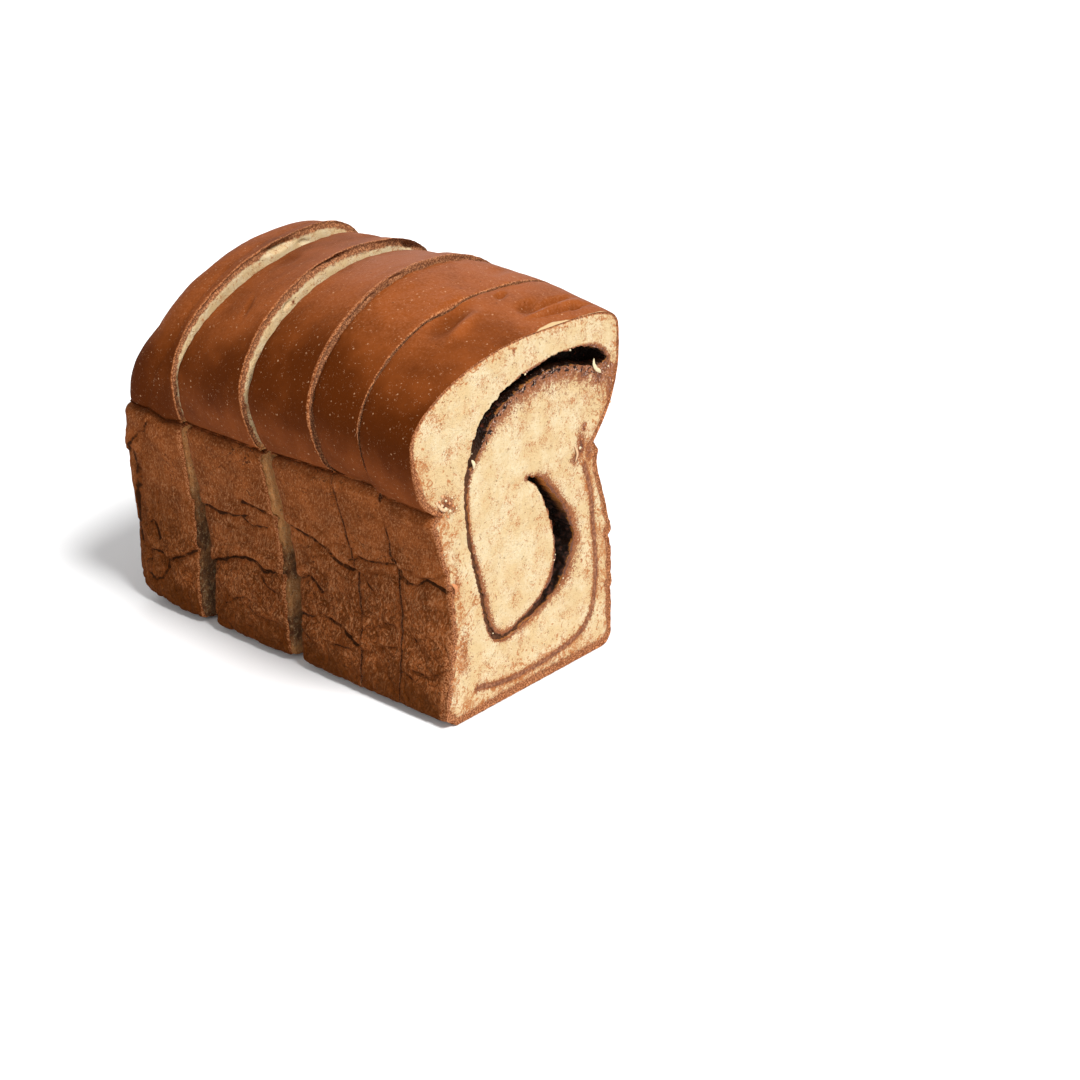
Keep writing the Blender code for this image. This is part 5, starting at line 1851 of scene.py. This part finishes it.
class LoafColours(bpy.types.PropertyGroup):
    """Colours of the loaf's finishes"""

    dome: colour_property("Dome", "Crust of the domed top", (0.275, 0.067, 0.012))
    # Deep brown of the baked top, also the painted shade on its shoulders, in its dents and in its pores
    dome_dark_and_shade: colour_property("Dome, dark", "Deeper brown of the top", (0.078, 0.015, 0.0006))
    # Painted sheen on the top of the dome, laid on in a pale grain
    dome_sheen: colour_property("Dome, light", "Fine pale grain of the top", (0.31, 0.098, 0.034))
    speck: colour_property("Speck", "Small pale specks on the top", (0.62, 0.36, 0.2))
    wall: colour_property("Wall", "Crust baked against the pan", (0.255, 0.07, 0.016))
    # Deeper brown of the wall in patches, also the soft painted shade round its creases
    wall_dark_and_shade: colour_property("Wall, dark", "Deeper brown of the wall", (0.15, 0.036, 0.006))
    # Pale raised fibres and strands of the wall, partly painted light on them
    wall_pale_and_lit: colour_property("Wall, light", "Raised fibres of the wall", (0.44, 0.195, 0.085))
    # Painted shade on the wall: at its foot and rear, in folds, between strands and in broad puffs
    wall_shade: colour_property("Wall, low", "Foot and rear of the wall", (0.085, 0.0205, 0.0015))
    # Painted shade: colour of the strips under the ledges, the furrows, the cuts' edges, the cracks and the
    # hollows between fibres
    crease: colour_property("Crease", "Bottom of the folds", (0.026, 0.008, 0.002))
    torn: colour_property("Torn crust", "Crust that the knife has opened", (0.52, 0.21, 0.085))
    torn_dark: colour_property("Torn crust, dark", "Pores of the torn crust", (0.17, 0.042, 0.01))
    crumb: colour_property("Crumb", "Cream crumb", (0.68, 0.56, 0.355))
    crumb_deep: colour_property("Crumb, deep", "Deeper cream", (0.62, 0.45, 0.235))
    # Toasted flecks in the crumb, also the painted shade in its pores
    toast_and_pore_shade: colour_property("Toast", "Toasted flecks in the crumb", (0.4, 0.125, 0.026))
    # Soaked crumb at the hollow's lip, and in the pocket partly painted light
    soaked: colour_property("Soaked crumb", "Orange-brown lip of the hollow", (0.48, 0.17, 0.04))
    # Orange brown of crumb under painted shade in a gap
    gap: colour_property("Gap", "Crumb in a gap beside the wall", (0.72, 0.33, 0.11))
    # Painted shade deepest in a gap, and in its pores
    gap_shade: colour_property("Gap, deep", "Crumb deep in a gap beside the wall", (0.08, 0.024, 0.0045))
    stain: colour_property("Stain", "Crumb coloured by chocolate", (0.255, 0.08, 0.028))
    stain_dark: colour_property("Stain, dark", "Crumb soaked with chocolate", (0.085, 0.024, 0.01))
    filling: colour_property("Filling", "Dark chocolate", (0.01, 0.004, 0.002))
    filling_light: colour_property("Filling, light", "Smears in the chocolate", (0.085, 0.016, 0.006))
    filling_dry: colour_property("Filling, dry", "Thin dry chocolate", (0.11, 0.045, 0.022))
    # Pale grains in the crumb's stain, and painted glints on the chocolate's smear
    pale_grain_and_glint: colour_property("Smear, light", "Pale grains in the smear", (0.56, 0.36, 0.27))
    smear: colour_property("Smear", "Bread smeared with wet chocolate", (0.13, 0.048, 0.03))
    dough: colour_property("Dough", "Chocolate dough", (0.15, 0.05, 0.022))
    dough_light: colour_property("Dough, light", "Paler chocolate dough", (0.34, 0.145, 0.07))


# Camera: sensor width in millimetres, and the nearest that it sees, in metres
SENSOR_WIDTH = 36.0
NEAREST_SEEN = 0.01

# Light: strength of the white surround, the sun's power, breadth in degrees and
# direction, and each softbox's name, place, aim, size and power
SURROUND = 0.4
SUN_POWER = 4.0
SUN_BREADTH = 18.0
SUN_TOWARDS = (-0.6, 0.04, -0.8)
SOFTBOXES = (
    ("back", (-0.9, 1.0, 0.8), (0.0, 0.0, 0.12), 1.0, 6.0),
    ("fill", (0.45, -1.2, 0.7), (0.05, 0.0, 0.05), 0.5, 4.0),
)


class LoafStage(bpy.types.PropertyGroup):
    """Floor and camera"""

    floor_colour: colour_property("Floor", "Colour of the floor", (0.88, 0.88, 0.88))
    floor_width: bpy.props.FloatProperty(
        name="Floor width", description="Side of the square floor", default=40.0, unit="LENGTH"
    )
    camera_place: bpy.props.FloatVectorProperty(
        name="Camera place", description="Where the camera stands", subtype="TRANSLATION",
        unit="LENGTH", default=(0.5927, -0.5475, 0.3912),
    )
    camera_turn: bpy.props.FloatVectorProperty(
        name="Camera turn", description="Turn about the loaf, downward tilt and roll",
        subtype="EULER", unit="ROTATION", default=(0.72214, 0.41683, -0.01333),
    )
    lens: bpy.props.FloatProperty(
        name="Lens", description="Focal length in millimetres", default=66.667, unit="CAMERA"
    )


def ride_and_slot(obj, slot, *nodes):
    """Ties a piece to the loaf's one body, and hides the solids that it stands
    for, if any. The slot that it is given is not used."""
    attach(obj, "root")
    if nodes:
        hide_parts(*nodes)


class LOAF_OT_bread(bpy.types.Operator):
    """Makes the bread of every slice, with the hollows in its swirl"""

    bl_idname = "loaf.bread"
    bl_label = "Bread slices"

    def execute(self, context):
        colours = context.scene.loaf_colours
        materials = [crust_material(colours), crumb_material(colours), lining_material(colours)]
        for index in range(HEEL + 1):
            number = HEEL + 1 - index
            obj = new_object(f"bread_{number}", slice_mesh(index), materials)
            scoop(obj, index)
            ride_and_slot(obj, "bread", f"slice_{number}")
        return {"FINISHED"}


class LOAF_OT_chocolate(bpy.types.Operator):
    """Makes the chocolate filling and the thin dough layer of every slice"""

    bl_idname = "loaf.chocolate"
    bl_label = "Chocolate"

    def execute(self, context):
        colours = context.scene.loaf_colours
        filling, dough = filling_material(colours), dough_material(colours)
        for index in range(HEEL + 1):
            number = HEEL + 1 - index
            swirl = new_object(f"filling_{number}", filling_mesh(index), [filling])
            ride_and_slot(swirl, "chocolate_filling", f"swirl_{number}")
            layer = new_object(f"dough_{number}", layer_mesh(index), [dough])
            ride_and_slot(layer, "chocolate_dough", f"layer_{number}")
        return {"FINISHED"}


class LOAF_OT_crumbs(bpy.types.Operator):
    """Makes the loose grains and torn strands on the front face"""

    bl_idname = "loaf.crumbs"
    bl_label = "Crumbs"

    def execute(self, context):
        material = crumbs_material(context.scene.loaf_colours)
        for name, parts in (("grains", all_grains()), ("strands", all_strands())):
            ride_and_slot(new_object(name, joined_mesh(name, parts), [material]), "bread")
        return {"FINISHED"}


class LOAF_OT_stage(bpy.types.Operator):
    """Makes the floor, the lights and the camera"""

    bl_idname = "loaf.stage"
    bl_label = "Stage"

    def execute(self, context):
        stage = context.scene.loaf_stage
        make_floor(stage)
        make_lights()
        make_camera(context.scene, stage)
        return {"FINISHED"}


def make_floor(stage):
    """A square floor at height 0."""
    half = stage.floor_width / 2.0
    corners = np.array([(-half, -half, 0), (half, -half, 0), (half, half, 0), (-half, half, 0)])
    mesh = new_mesh("floor", corners, np.array([[0, 1, 2, 3]]))
    floor = new_object("floor", mesh, [floor_material(stage.floor_colour)])


def add_light(light, place, towards):
    """A light at a place, turned so that it shines in a direction."""
    obj = bpy.data.objects.new(light.name, light)
    obj.location = place
    obj.rotation_euler = Vector(towards).to_track_quat("-Z", "Y").to_euler()
    bpy.context.scene.collection.objects.link(obj)


def add_softbox(name, place, aim, size, power):
    """A square area light at a place, turned towards a point."""
    light = bpy.data.lights.new(name, "AREA")
    light.shape = "SQUARE"
    light.size = size
    light.energy = power
    add_light(light, place, Vector(aim) - Vector(place))


def make_lights():
    """A white surround, a broad sun, and two softboxes."""
    world = bpy.data.worlds.new("studio")
    world.use_nodes = True
    background = world.node_tree.nodes["Background"]
    background.inputs["Color"].default_value = (1.0, 1.0, 1.0, 1.0)
    background.inputs["Strength"].default_value = SURROUND
    bpy.context.scene.world = world
    sun = bpy.data.lights.new("key", "SUN")
    sun.energy = SUN_POWER
    sun.angle = math.radians(SUN_BREADTH)
    add_light(sun, (0.0, 0.0, 0.0), SUN_TOWARDS)
    for softbox in SOFTBOXES:
        add_softbox(*softbox)


def make_camera(scene, stage):
    """The camera stands at its place and looks down on the loaf: its back is
    turned about the upright axis, tilted, and then rolled."""
    turn, tilt, roll = stage.camera_turn
    level = math.cos(tilt)
    back = Vector((math.sin(turn) * level, -math.cos(turn) * level, math.sin(tilt)))
    right = Vector((math.cos(turn), math.sin(turn), 0.0))
    up = back.cross(right)
    rolled_right = math.cos(roll) * right + math.sin(roll) * up
    rolled_up = -math.sin(roll) * right + math.cos(roll) * up
    camera = bpy.data.cameras.new("camera")
    camera.lens = stage.lens
    camera.sensor_width = SENSOR_WIDTH
    camera.clip_start = NEAREST_SEEN
    obj = bpy.data.objects.new("camera", camera)
    matrix = Matrix((rolled_right, rolled_up, back)).transposed().to_4x4()
    matrix.translation = stage.camera_place
    obj.matrix_world = matrix
    scene.collection.objects.link(obj)
    scene.camera = obj
    scene.view_settings.view_transform = "Standard"


class LOAF_PT_panel(bpy.types.Panel):
    """Lists the steps in the order they are run"""

    bl_idname = "LOAF_PT_panel"
    bl_label = "Chocolate swirl loaf"
    bl_space_type = "VIEW_3D"
    bl_region_type = "UI"
    bl_category = "Loaf"

    def draw(self, context):
        column = self.layout.column()
        for operator in OPERATORS:
            column.operator(operator.bl_idname)
        for group in (context.scene.loaf_colours, context.scene.loaf_stage):
            for name in group.__annotations__:
                column.prop(group, name)


OPERATORS = (LOAF_OT_bread, LOAF_OT_chocolate, LOAF_OT_crumbs, LOAF_OT_stage)
CLASSES = (LoafColours, LoafStage, *OPERATORS, LOAF_PT_panel)


def register():
    """Tells Blender of the classes, and gives every scene their values."""
    for cls in CLASSES:
        bpy.utils.register_class(cls)
    bpy.types.Scene.loaf_colours = bpy.props.PointerProperty(type=LoafColours)
    bpy.types.Scene.loaf_stage = bpy.props.PointerProperty(type=LoafStage)


def unregister():
    """Undoes what register does."""
    del bpy.types.Scene.loaf_colours
    del bpy.types.Scene.loaf_stage
    for cls in reversed(CLASSES):
        bpy.utils.unregister_class(cls)


def main():
    """Makes the loaf and its stage."""
    register()
    bpy.ops.loaf.bread()
    bpy.ops.loaf.chocolate()
    bpy.ops.loaf.crumbs()
    bpy.ops.loaf.stage()


if __name__ == "__main__":
    main()
